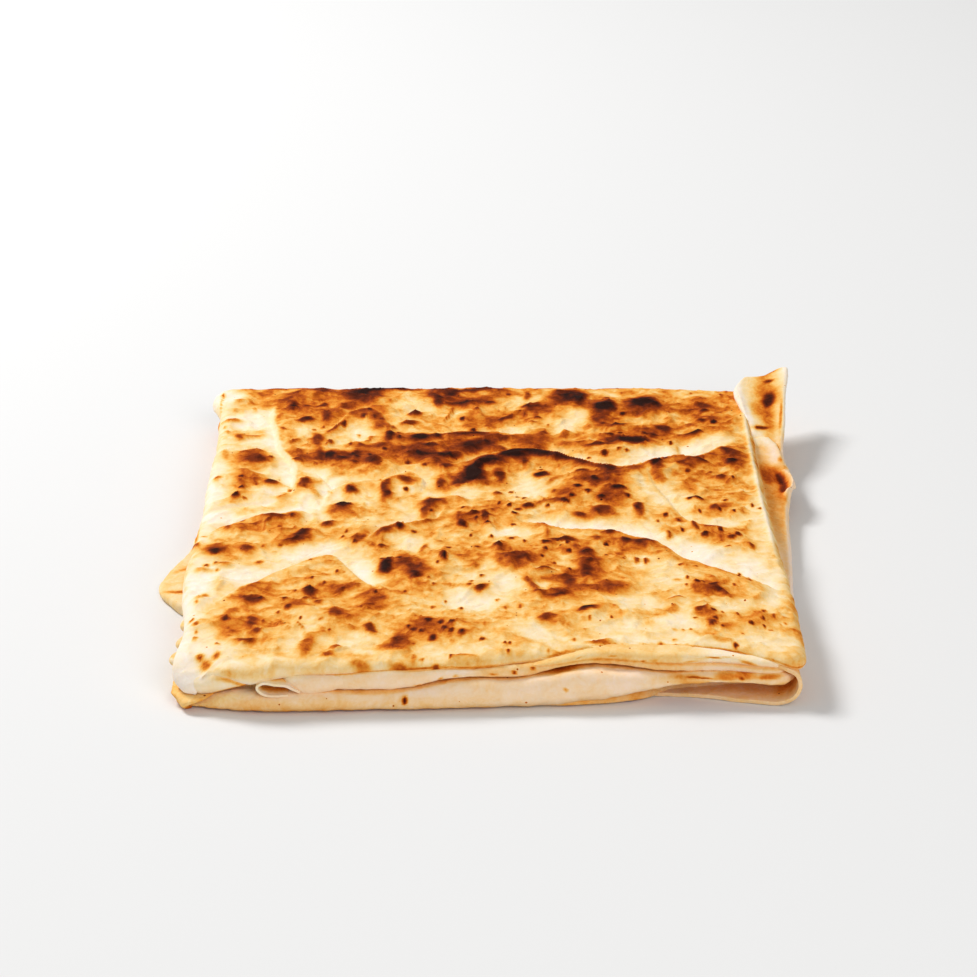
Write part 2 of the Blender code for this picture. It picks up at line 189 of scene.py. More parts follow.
BOTTOM_FLOOR = spline((10, 0.3), (26, 1.0), (36, 2.4), (46, 4.2), (55, POCKET_HEIGHT),
                      (78, POCKET_HEIGHT), (83, POCKET_HEIGHT - 0.6), (87, POCKET_HEIGHT))
BASE_FRONT = spline((-86, -97), (-60, -99.5), (15, -99), (32, -97.6), (42, -95.2),
                    (50, -90.5), (60, -87.5), (70, -86.0), (87, -84))
# the plan is centred on the folds, and the frame on its box, which the tab's tip sets apart
MIDDLE = np.array([-HALF_W - TAB_REACH - 0.1 - LOW[0], HALF_D + 7.8 - HIGH[1], 0.0])
print("from the frame's origin to the plan's, mm:", -np.round(MIDDLE, 2))

# %% [markdown]
# ## Where the top is folded and creased
# A fold that shows on top is a line where one layer ends on another: the sheet stands a
# little above the line on one side and lies in a pale valley on the other.  Each is given
# as a few points.  For every point of the sheet we find its distance from that line, with
# a sign for the side, and everything else (the step, the browned crest, the pale valley)
# is worked out from that one number.

# %% Creases
def corner_cut(points):
    """The same line with every inner corner cut off, from 3/4 of one side to 1/4 of the next."""
    start, end = points[:-1], points[1:]
    cut = np.stack([0.75 * start + 0.25 * end, 0.25 * start + 0.75 * end], 1).reshape(-1, 2)
    return np.concatenate([points[:1], cut[1:-1], points[-1:]])


class Crease:
    """A fold line through `points`.  The dough stands `crest` mm high on its left, as it
    runs, and lies `drop` mm deep on its right, and both die away over `reach` mm.  Its
    crest is browned, its valley is pale, and its thin lip is a painted highlight."""

    def __init__(self, points, crest, drop, reach, brown=0.0, pale=0.0, lip=0.0, seed=1):
        self.points = corner_cut(np.array(points, float))
        self.crest, self.drop, self.reach = crest, drop, reach
        self.brown, self.pale, self.lip, self.seed = brown, pale, lip, seed

    def measure(self, x, y):
        """Signed distance from the line, and how fully the crease is there (0 at its ends)."""
        x = x + 0.8 * noise(x, y, 8.0, self.seed)
        y = y + 0.8 * noise(x, y, 8.0, self.seed + 9)
        nearest = np.full(x.shape, np.inf)
        side, along = np.zeros(x.shape), np.zeros(x.shape)
        lengths = np.hypot(*np.diff(self.points, axis=0).T)
        start = 0.0
        for (ax, ay), (bx, by), length in zip(self.points[:-1], self.points[1:], lengths):
            ux, uy = (bx - ax) / length, (by - ay) / length
            run = np.clip((x - ax) * ux + (y - ay) * uy, 0, length)
            away = np.hypot(x - ax - run * ux, y - ay - run * uy)
            closer = away < nearest
            side = np.where(closer, np.sign((x - ax) * uy - (y - ay) * ux), side)
            along = np.where(closer, start + run, along)
            nearest = np.where(closer, away, nearest)
            start += length
        return nearest * side, smooth(along / 9) * smooth((start - along) / 9)

    def height(self, x, y):
        """The step: a crest that rises to the line, and a valley that falls from it."""
        signed, there = self.measure(x, y)
        low = smooth((signed + 0.6) / 1.2)
        crest = self.crest * np.exp(np.minimum(signed, 0) / self.reach)
        valley = self.drop * np.exp(-np.maximum(signed, 0) / self.reach)
        lip = 0.35 * self.lip * bump((signed + 0.2) / 0.6)
        return there * ((1 - low) * crest - low * valley + lip)

    def edge(self, x, y):
        """1 along the line and 0 from 4 mm off, where the dough is drawn smooth."""
        signed, there = self.measure(x, y)
        return there * bump((signed + 0.4) / 1.9)

    def colour(self, x, y):
        """Three shares from 0 to 1: browned crest, pale valley, and lip, a painted highlight."""
        signed, there = self.measure(x, y)
        crest = np.exp(np.minimum(signed, 0) / (0.45 * self.reach)) * smooth((0.7 - signed) / 1.0)
        valley = bump(np.maximum(signed, 0) / self.reach) * smooth((signed + 0.4) / 0.9)
        # the lip's share: where the browning is lightened as a painted highlight
        lip = bump((signed + 0.1) / 0.8)
        return there * self.brown * crest, there * self.pale * valley, there * self.lip * lip


# lip is how strongly each crease's edge is painted pale, a painted highlight
CREASES = [
    # the long arc across the back half, and the pale valley behind it
    Crease([(80, 54), (73, 50), (68, 45), (64, 41.5), (60, 43.5), (55, 41), (50, 37), (44, 32),
            (39, 31.5), (34, 33.5), (28, 38.5), (19, 44.5), (11, 46), (3, 43.5), (-3, 40),
            (-8, 36.5), (-15, 36)],
           1.6, 1.7, 12.0, brown=0.8, pale=0.95, lip=0.9, seed=11),
    # the arc across the front half, and the dark one beside it
    Crease([(86, -52), (76, -46), (69, -42), (60, -33.5), (51, -23.5), (45, -18.5), (38, -14),
            (31, -12), (20, -11.5), (12, -8.5), (6, -5)],
           1.2, 1.4, 11.0, brown=0.5, pale=0.9, lip=0.5, seed=23),
    Crease([(-12, 9), (-13, 2), (-15, -5), (-20, -8.5), (-27, -11), (-34, -16), (-37, -24)],
           1.0, 0.9, 6.0, brown=0.75, pale=0.8, lip=0.7, seed=29),
    # the diagonal on the left of the front half, with its thin raised edge
    Crease([(-41, -21), (-49, -26), (-55, -33), (-62, -43), (-71, -54), (-78, -64)],
           0.5, 0.8, 5.0, pale=0.8, lip=1.0, seed=31),
    Crease([(-30, -55), (-36, -48), (-41, -37), (-45, -29), (-52, -33), (-60, -42), (-70, -56)],
           0.5, 0.6, 5.0, brown=0.45, pale=0.7, lip=0.4, seed=37),
    # the short arcs on the left
    Crease([(-51, -1.5), (-57, 0), (-62, -3.5), (-68, -4.5), (-74, -8), (-79, -11.5), (-83, -17)],
           0.9, 1.2, 8.0, brown=0.55, pale=0.9, lip=0.5, seed=43),
    Crease([(-21, 14), (-20, 22), (-22, 28), (-25, 30), (-29, 27), (-33, 23), (-38, 23),
            (-44, 21), (-48, 16), (-50, 8), (-50, 0)],
           0.6, 0.7, 6.0, brown=0.35, pale=0.6, lip=1.0, seed=53),
    # the upright creases on the left of the back half
    Crease([(-69, 88), (-69, 74), (-67.5, 62), (-65.5, 50), (-61, 38), (-60, 26), (-60, 10)],
           0.9, 0.6, 5.0, pale=0.95, lip=1.0, seed=61),
    Crease([(-46, 14), (-49, 22), (-53, 29), (-59, 32)], 0.6, 0.6, 4.0, brown=0.4, pale=0.6,
           lip=1.0, seed=67),
    Crease([(-84, 52), (-77, 49), (-70, 50), (-66, 47)], 0.5, 0.6, 5.0, brown=0.3, pale=0.7,
           lip=0.6, seed=69),
    # the fine creases on the right
    Crease([(80, -9), (72, -10), (63, -7), (58, 1), (54, 14), (49, 26), (50, 36)], 0.6, 0.6,
           6.0, brown=0.4, pale=0.5, lip=0.5, seed=71),
    Crease([(60.3, 44), (59.8, 53), (60.5, 62)], 0.5, 0.5, 4.0, brown=0.6, pale=0.3, seed=73),
    Crease([(82, 0), (76, 8), (72, 14)], 0.5, 0.5, 4.0, brown=0.5, pale=0.3, lip=0.5, seed=79),
    Crease([(70, 30), (65, 33), (62, 40)], 0.4, 0.4, 4.0, brown=0.5, pale=0.4, lip=0.6, seed=81),
    # the dome of dough near the back, and the folds round it
    Crease([(-30, 58), (-32, 72), (-38, 80), (-44, 79), (-47, 70), (-50, 61)], 0.9, 0.7, 5.0,
           brown=0.5, pale=0.4, lip=0.6, seed=83),
    Crease([(-14, 71), (-12, 79), (-9, 85)], 0.5, 0.4, 3.0, brown=0.7, pale=0.3, lip=0.5, seed=87),
    Crease([(18, 61), (8, 62), (-3, 61), (-12, 60), (-22, 60)], 0.9, 0.7, 5.0, brown=0.7, pale=0.7,
           lip=0.7, seed=89),
    Crease([(-87, -4), (-85, 1), (-81, 4.5), (-76, 6), (-68, 8), (-60, 10.5)], 0.3, 0.5, 5.0,
           brown=0.2, pale=0.6, lip=0.7, seed=91),
    Crease([(-17, 33), (-24, 36), (-30, 33)], 0.5, 0.5, 4.0, brown=0.6, pale=0.6, lip=0.9, seed=97),
]
print(len(CREASES), "creases")

# %% [markdown]
# ## Where it is browned
# Dough browns where it touches the griddle, so each scorch sits on something that stands
# up, dark in the middle and golden round it.  The large ones are part of how this parcel
# looks, so each is named by its place: its middle, half its length and width, its turn
# and how far it went (0.4 is golden, 0.7 brown, 1 nearly black).  A list of ellipses is
# easy to read and to change.  Warping the places with noise takes away their neat shape.

# %% Large scorches on the back half
SCORCHES = [
    # x, y, half length, half width, how dark, turn in degrees if any
    (-43, 95, 5, 4, 0.95), (-36, 98, 7, 2.5, 1.0, 10), (-54, 96, 4, 3.5, 0.85),
    (-62, 95, 5, 1.4, 0.75, 40), (-65, 98.2, 9, 0.8, 0.75), (-78, 98, 3, 2.5, 0.5),
    (-69.5, 87, 3, 1.2, 0.62), (-63.5, 83.5, 2, 2.8, 0.88), (-65.5, 89, 3.5, 0.9, 0.6, 50),
    (-60.2, 88, 0.9, 4, 0.5, 10), (-59, 83, 1.5, 1.5, 0.85), (-53.5, 82, 1.7, 2.2, 0.92),
    (-52.5, 74, 1.6, 2.6, 0.82), (-58, 71, 2.1, 2.1, 1.05), (-60.5, 69.5, 0.9, 1.5, 0.6),
    (-67, 75, 1, 3, 0.6), (-66, 63, 1, 1.4, 0.68), (-80.5, 87, 1.5, 1, 0.45),
    (-81.5, 71.5, 2.4, 1.4, 0.62), (-77, 59.6, 5, 1, 0.55, 5), (-79.5, 58, 1.4, 2, 0.72),
    (-74, 46.5, 4, 1.9, 0.82, 10), (-72.5, 38.5, 3.3, 2.2, 0.88), (-82.5, 44, 1.5, 2.5, 0.45, 20),
    (-61, 54.5, 2.5, 1.1, 0.75, 40), (-53.5, 55, 1.7, 5, 0.82), (-50.5, 52, 0.9, 2.3, 0.85),
    (-48.5, 64, 1, 5, 0.82, -28), (-41, 75.5, 6, 4.5, 0.66), (-31.5, 65, 1.4, 2.2, 1.0),
    (-31, 58, 1.6, 4.2, 1.05, 8), (-37.5, 56.5, 0.8, 3, 0.65, -20), (-40, 51.5, 1.2, 1.4, 0.72),
    (-34.5, 50.5, 2.4, 1.2, 0.66), (-49, 43, 1.8, 3.4, 0.98), (-53, 45, 1.8, 5, 0.68),
    (-42, 43, 1.7, 3.3, 0.95), (-45.5, 40, 2, 1.8, 0.74), (-42.5, 35.5, 1.7, 1.2, 0.85),
    (-36, 35.5, 2.5, 2.9, 0.95, 30), (-58.5, 38.5, 1.8, 1.4, 0.9, -10), (-30, 99, 7, 1.5, 1.0),
    (-13, 95, 3, 5, 0.85), (-4, 98, 9, 1.7, 0.88, 5), (-17, 88, 1.8, 6, 0.92, 10),
    (-8, 86.5, 6, 1.7, 0.92, 5), (1, 86, 1.7, 1.4, 0.98), (-12.6, 78, 0.6, 5.5, 0.85, -14),
    (-24, 76.5, 2.4, 1.5, 0.95, 10), (-26, 69.5, 3, 1.6, 0.9, 40), (-10, 60.4, 9, 1.1, 0.88, -8),
    (-22, 57, 3, 2.8, 0.95), (-17, 58, 2, 1.8, 1.05, -20), (-18, 50, 2.5, 1.4, 0.92),
    (-3, 51, 6, 4.4, 1.2, 35), (-12, 43.5, 4.6, 2.8, 1.15, 8), (3, 49, 3.6, 3, 1.1),
    (3, 57, 5, 2.6, 0.88), (-9, 48, 5, 5, 0.9), (17, 62, 1.8, 1.3, 0.82), (2.5, 61.5, 2, 1.3, 0.78),
    (5.5, 75, 1.7, 4, 0.92, -28), (14, 84.5, 2.7, 1.9, 0.95), (16, 78, 1.1, 5, 0.62),
    (15.5, 75, 1.1, 1, 0.85), (14, 71.5, 1.5, 0.7, 0.62), (23.5, 62, 1.3, 3, 0.72, -20),
    (28, 91.5, 3.6, 6.4, 1.08), (12, 95, 1.3, 4, 0.78), (18, 101, 3.5, 1.1, 0.85, 20),
    (22, 86, 2, 1.8, 0.62), (41, 104, 5, 1.2, 0.92), (38.5, 84.5, 3.2, 5.2, 1.18),
    (50, 87.5, 4.6, 4.6, 1.18, -25), (54.5, 85, 2.2, 2.8, 1.05), (36.5, 74, 2.6, 4, 0.66),
    (41, 68, 3, 1.6, 1.0, 20), (55, 68, 2.6, 4, 0.95, 25), (53, 61, 1.5, 0.9, 0.88),
    (49, 62.5, 1.1, 1.4, 0.94), (38, 60.5, 2, 1.1, 0.9), (46, 56, 5.4, 3.2, 1.18, -8),
    (34.5, 52, 4.5, 1.5, 1.12), (36, 46.5, 5.5, 1.6, 0.55), (69, 85.5, 3, 2.4, 0.8, -35),
    (68.8, 81.5, 1.3, 1, 1.0), (67, 74.5, 1.6, 1.2, 0.88), (65, 62.5, 3, 1.5, 1.05, 15),
    (75, 46.5, 3.4, 2.2, 0.88, -10), (75.5, 38.5, 1.6, 2.3, 1.08, -15),
    (65.5, 38.5, 3, 1.3, 0.95, -20), (52.5, 33.5, 2.3, 3.8, 1.1), (62, 37, 0.7, 2, 0.72, -20),
    (0.5, 37, 3.8, 4.2, 1.2, 30), (8, 42.2, 5, 3.4, 1.25, 10), (15, 42.8, 4, 2.4, 1.1),
    (21, 40.5, 4, 2, 1.05, -22), (-3, 32.5, 2, 4, 1.0), (-12.5, 33.5, 2.2, 1.6, 0.98),
    (-22, 41.5, 4.6, 5.4, 0.66), (-17, 36.5, 2.6, 3.6, 0.74), (28, 37, 5, 2, 0.95, -28),
    (36, 32.5, 4, 2, 0.95, -30), (11, 37, 1.4, 2, 0.9), (14.5, 54.5, 6, 7, 0.9),
    (13, 50, 6, 4, 0.85), (27, 54, 6, 3, 0.72), (30, 48, 8, 2.4, 0.5), (36, 43, 7, 3, 0.45, 10),
    (-39, 91, 8, 5, 0.9, 60), (-45, 83, 5, 3, 0.75, 40), (-50, 74, 5, 6, 0.6),
    (-36, 80, 3, 4, 0.75), (-35, 70, 3, 7, 0.72), (-38, 50, 7, 3, 0.66), (-50, 42, 8, 5, 0.72),
    (-40, 41, 8, 6, 0.72), (-29, 45, 6, 8, 0.62), (-21, 46, 5, 8, 0.75), (-13, 38, 5, 4, 0.8),
    (-26, 56, 6, 5, 0.66), (-5, 70, 3, 8, 0.6), (2, 72, 4, 6, 0.66), (-7, 60, 8, 3, 0.85),
    (-15, 94, 5, 8, 0.7), (-6, 88, 8, 5, 0.72), (3, 96, 5, 6, 0.6), (18, 83, 4, 6, 0.66),
    (25, 92, 6, 8, 0.8), (36, 78, 4, 12, 0.66), (50, 82, 7, 5, 0.75), (52, 64, 6, 5, 0.7),
    (62, 60, 5, 2.4, 0.6), (70, 88, 6, 7, 0.5), (72, 66, 5, 5, 0.55), (42, 56, 8, 5, 0.7),
    (76, 42, 5, 8, 0.62), (-73, 42, 7, 6, 0.6), (-60, 80, 6, 6, 0.56), (-64, 90, 6, 6, 0.52),
]
print(len(SCORCHES), "large scorches on the back half")

# %% Large scorches on the front half
SCORCHES += [
    (-74, 28.5, 5, 2.6, 0.58, -15), (-66.5, 22.5, 2.2, 1.5, 1.0), (-62, 20.5, 3, 1.2, 0.42, -20),
    (-83, 25, 0.8, 2.4, 0.6), (-75.5, 19.5, 0.8, 5, 0.52), (-77, 10.8, 1.1, 2.2, 1.12),
    (-62, 11, 1, 3, 0.6, -20), (-56.5, 21, 1.8, 4, 1.0, -5), (-54, 17, 1.3, 7, 0.52, 10),
    (-41.5, 16, 1.7, 3.4, 0.95, 15), (-37, 23.5, 2, 0.9, 0.78), (-42, 22.6, 1.5, 0.8, 0.66),
    (-31.3, 15, 1.8, 6, 0.95, -6), (-44, 3, 2.2, 2.2, 1.05), (-44, 0, 3.4, 3.4, 0.55),
    (-47.5, -9.5, 2.2, 2.1, 0.95), (-58, -5, 3, 2.8, 0.62, 60), (-64, -6, 4, 1.8, 0.85, -5),
    (-65.5, -10, 0.6, 4, 0.75), (-77, -14, 1.4, 1.4, 0.62), (-73.5, -14, 1, 2.4, 0.6),
    (-55, -17, 1.8, 4, 0.85, -20), (-56.5, -21.5, 3.5, 1.7, 0.92, 10),
    (-86, -25, 2.4, 1.3, 0.75, -50), (-80, -31, 2, 1.9, 1.02), (-70.5, -28.5, 2.4, 2.3, 0.9, -30),
    (-37.5, -18, 2.2, 6, 0.76, -15), (-31, -26, 1.1, 1.7, 0.88), (-25, 23.5, 3.8, 2.8, 0.74),
    (-14.5, 22, 2, 4, 0.95, -10), (-4.5, 27, 3.6, 5.6, 1.22), (-8.5, 22, 2, 3, 0.88),
    (3.5, 28, 1.4, 4, 0.88), (17, 27, 2, 2.3, 1.05, -30), (26.5, 18.5, 1.6, 1.4, 1.05),
    (29, 29, 2.5, 1.8, 0.85), (20, 24, 1, 3, 0.72, -30), (3, 13.5, 1.2, 1.4, 0.88),
    (19, 8, 6, 1.6, 0.74, 22), (22, 8, 1.3, 1.2, 1.0), (11.5, 4.5, 1.4, 1.8, 1.08, -30),
    (-16, 8, 4, 2, 0.88, 32), (-19, 0, 1.3, 5, 0.78), (-18.5, -6.5, 1.6, 1.2, 1.0),
    (-22, -8.7, 3, 1.1, 0.84, 22), (-26, -12.5, 1.5, 1.9, 1.12, 20),
    (-4, -1.5, 1.8, 1.3, 0.88, -30), (-8, -9, 1.3, 2.7, 1.0), (-9, -3, 0.9, 3, 0.66),
    (-0.5, -4, 1.2, 4, 0.88), (28, -1, 3, 1.8, 0.94, -20), (16, -10, 2.1, 0.8, 1.0, -10),
    (17.4, -14, 0.9, 4, 0.62, 8), (21.5, -20.5, 4, 0.8, 0.88), (3, -25.5, 1.3, 1.7, 0.92),
    (29, -29, 1.8, 3, 0.88), (-18.5, -27, 0.9, 4, 0.72), (8, -33, 6.4, 3.2, 0.78),
    (9, -38, 4.4, 3, 0.66), (-12.5, -33.5, 0.9, 3, 0.78), (33, 23, 1.2, 2, 1.05, 25),
    (38, 28, 1.8, 4, 0.74), (40.5, 17.5, 2, 1.4, 1.05), (34.5, 10.5, 1.3, 1.3, 1.05),
    (34.5, 2.5, 3.4, 2.7, 0.74), (45, 5.5, 1.4, 2.9, 1.0), (45, 31, 3.3, 3, 0.55),
    (64, 11, 1.6, 1, 1.05), (72.5, 27, 1.8, 2, 0.96, -20), (68, 4.5, 1.5, 2, 0.75),
    (72, 6, 2.6, 3, 0.62, -30), (66, -9, 4, 0.8, 0.82, -15), (61, -8, 0.9, 3, 0.92),
    (64.5, -14, 1.2, 1.3, 1.0), (53, -12.5, 0.9, 2, 1.0), (74.5, -14.5, 1.1, 1.4, 1.02),
    (73, -16.5, 1.6, 1, 0.82), (77, -21.5, 1, 1.8, 0.85), (40.5, -22, 1.6, 2.4, 1.0),
    (46, -23.3, 4.4, 2.1, 0.9, -8), (37, -15.2, 1.6, 0.9, 0.94, -20), (32, -20, 2, 1.8, 0.66),
    (-75.5, -39, 2.4, 1.1, 0.72, 10), (-82, -42.5, 2, 1.2, 0.45),
    (-81.5, -59.5, 0.8, 2.6, 0.6, -25), (-67, -55, 2.6, 5, 0.55, -25), (-66.5, -63, 3.3, 2.1, 0.8),
    (-51.5, -56, 2.1, 2.7, 0.96), (-51.5, -61.5, 1.2, 1.2, 0.9), (-47.5, -63.5, 1.6, 1.5, 0.8),
    (-55.7, -68, 1.4, 2, 0.9, -15), (-42, -53, 6, 2.8, 0.5, -10), (-32.5, -61, 3.4, 5, 0.58),
    (-72, -71, 1.8, 4, 0.58, -30), (-65.7, -78, 1.7, 3.8, 0.85), (-64.5, -84, 1.5, 1.1, 0.8),
    (-67.5, -89.5, 2.8, 1.5, 0.95), (-57, -79.2, 5, 0.35, 0.6, -10), (-52, -80, 0.4, 4, 0.6, 20),
    (-50, -90, 1.7, 6, 0.68, -16), (-42.5, -71.5, 2.6, 3.2, 0.68), (-44, -96.5, 2, 1.7, 0.7),
    (-42, -92.5, 1.5, 1.4, 0.6), (-33, -79.5, 1.3, 3, 0.92, 12), (-35, -100, 3, 1.8, 0.52),
    (-29.5, -39.5, 1.9, 4, 1.25, -5), (-24, -38, 3, 5, 0.58), (-20.5, -46, 2.2, 1.2, 1.02),
    (-10, -51.7, 3, 0.8, 0.55), (-1.2, -54.2, 1.7, 2.1, 0.95), (16.5, -42, 2.2, 1, 1.05),
    (12.6, -50, 1.5, 6, 0.62, 20), (20.5, -58, 3.2, 1.3, 0.8), (20.4, -54.5, 2.4, 2, 0.66),
    (29, -41, 2, 5.6, 0.94, -8), (24.7, -50, 1.7, 3, 0.94, -20), (28, -54, 5, 2.8, 0.7),
    (35, -54.5, 4, 2.6, 0.6, 20), (29, -67.5, 3.1, 1.8, 1.12, 10), (16.3, -73, 2.2, 1.7, 0.85),
    (-24.5, -87, 3, 4, 0.66), (-6, -96, 4, 0.9, 0.52), (-24, -100, 2.5, 1.5, 0.6),
    (65.3, -52.5, 1.5, 1.6, 1.02, -30), (67.5, -56, 1.1, 3, 0.84, 30),
    (53.5, -60, 2.5, 0.9, 0.7, 10), (61, -66, 2, 1.4, 0.86), (63, -70, 1.6, 5, 0.58),
    (62.7, -75.5, 1.3, 1.9, 0.94), (32, -85.5, 3.4, 1.1, 0.68, 5), (65, -84.5, 3.2, 1.7, 0.48),
    (60, -93.4, 3.6, 0.7, 0.6), (76, -73, 5, 4, 0.4), (-30, -15, 2.4, 4.5, 0.85, -35),
    (-8, -5, 5, 4, 0.62), (35, 0, 5, 3.5, 0.7), (46, 3, 1.6, 4.5, 0.8), (-18, 2, 2.4, 5, 0.75, 5),
    (24, 16, 5, 6, 0.6), (38, 12, 5, 9, 0.62), (33, 24, 6, 6, 0.62), (62, 36, 3.5, 4, 0.75),
    (52, 28, 2.2, 5, 0.8), (18, -46, 4, 2, 0.6), (-20, -43, 5, 3.5, 0.7), (-22, -38, 5, 6, 0.62),
    (30, -38, 4, 9, 0.68, 5), (20, -57, 7, 2.5, 0.66), (36, -52, 5, 4.5, 0.68),
    (24, -46, 3, 4, 0.62), (64, -52, 5, 5, 0.6, -20), (-54, -66, 4, 4, 0.6), (-38, -72, 5, 3, 0.5),
    (-16, -80, 8, 6, 0.6, -20), (-24, -89, 4, 4, 0.66), (-68, -62, 5, 3, 0.6),
    (-72, -80, 5, 7, 0.5), (-56, -20, 5, 4, 0.66), (-80, -29, 4, 4, 0.66),
]
print(len(SCORCHES), "large scorches in all")

# %% [markdown]
# ## Spots, toasted stretches and pale ones
# Between the large scorches the crust is full of small dark spots, where a tiny blister
# burst.  Under both lie wide stretches that are toasted golden, and others that never
# touched the iron and stayed as pale as raw dough.

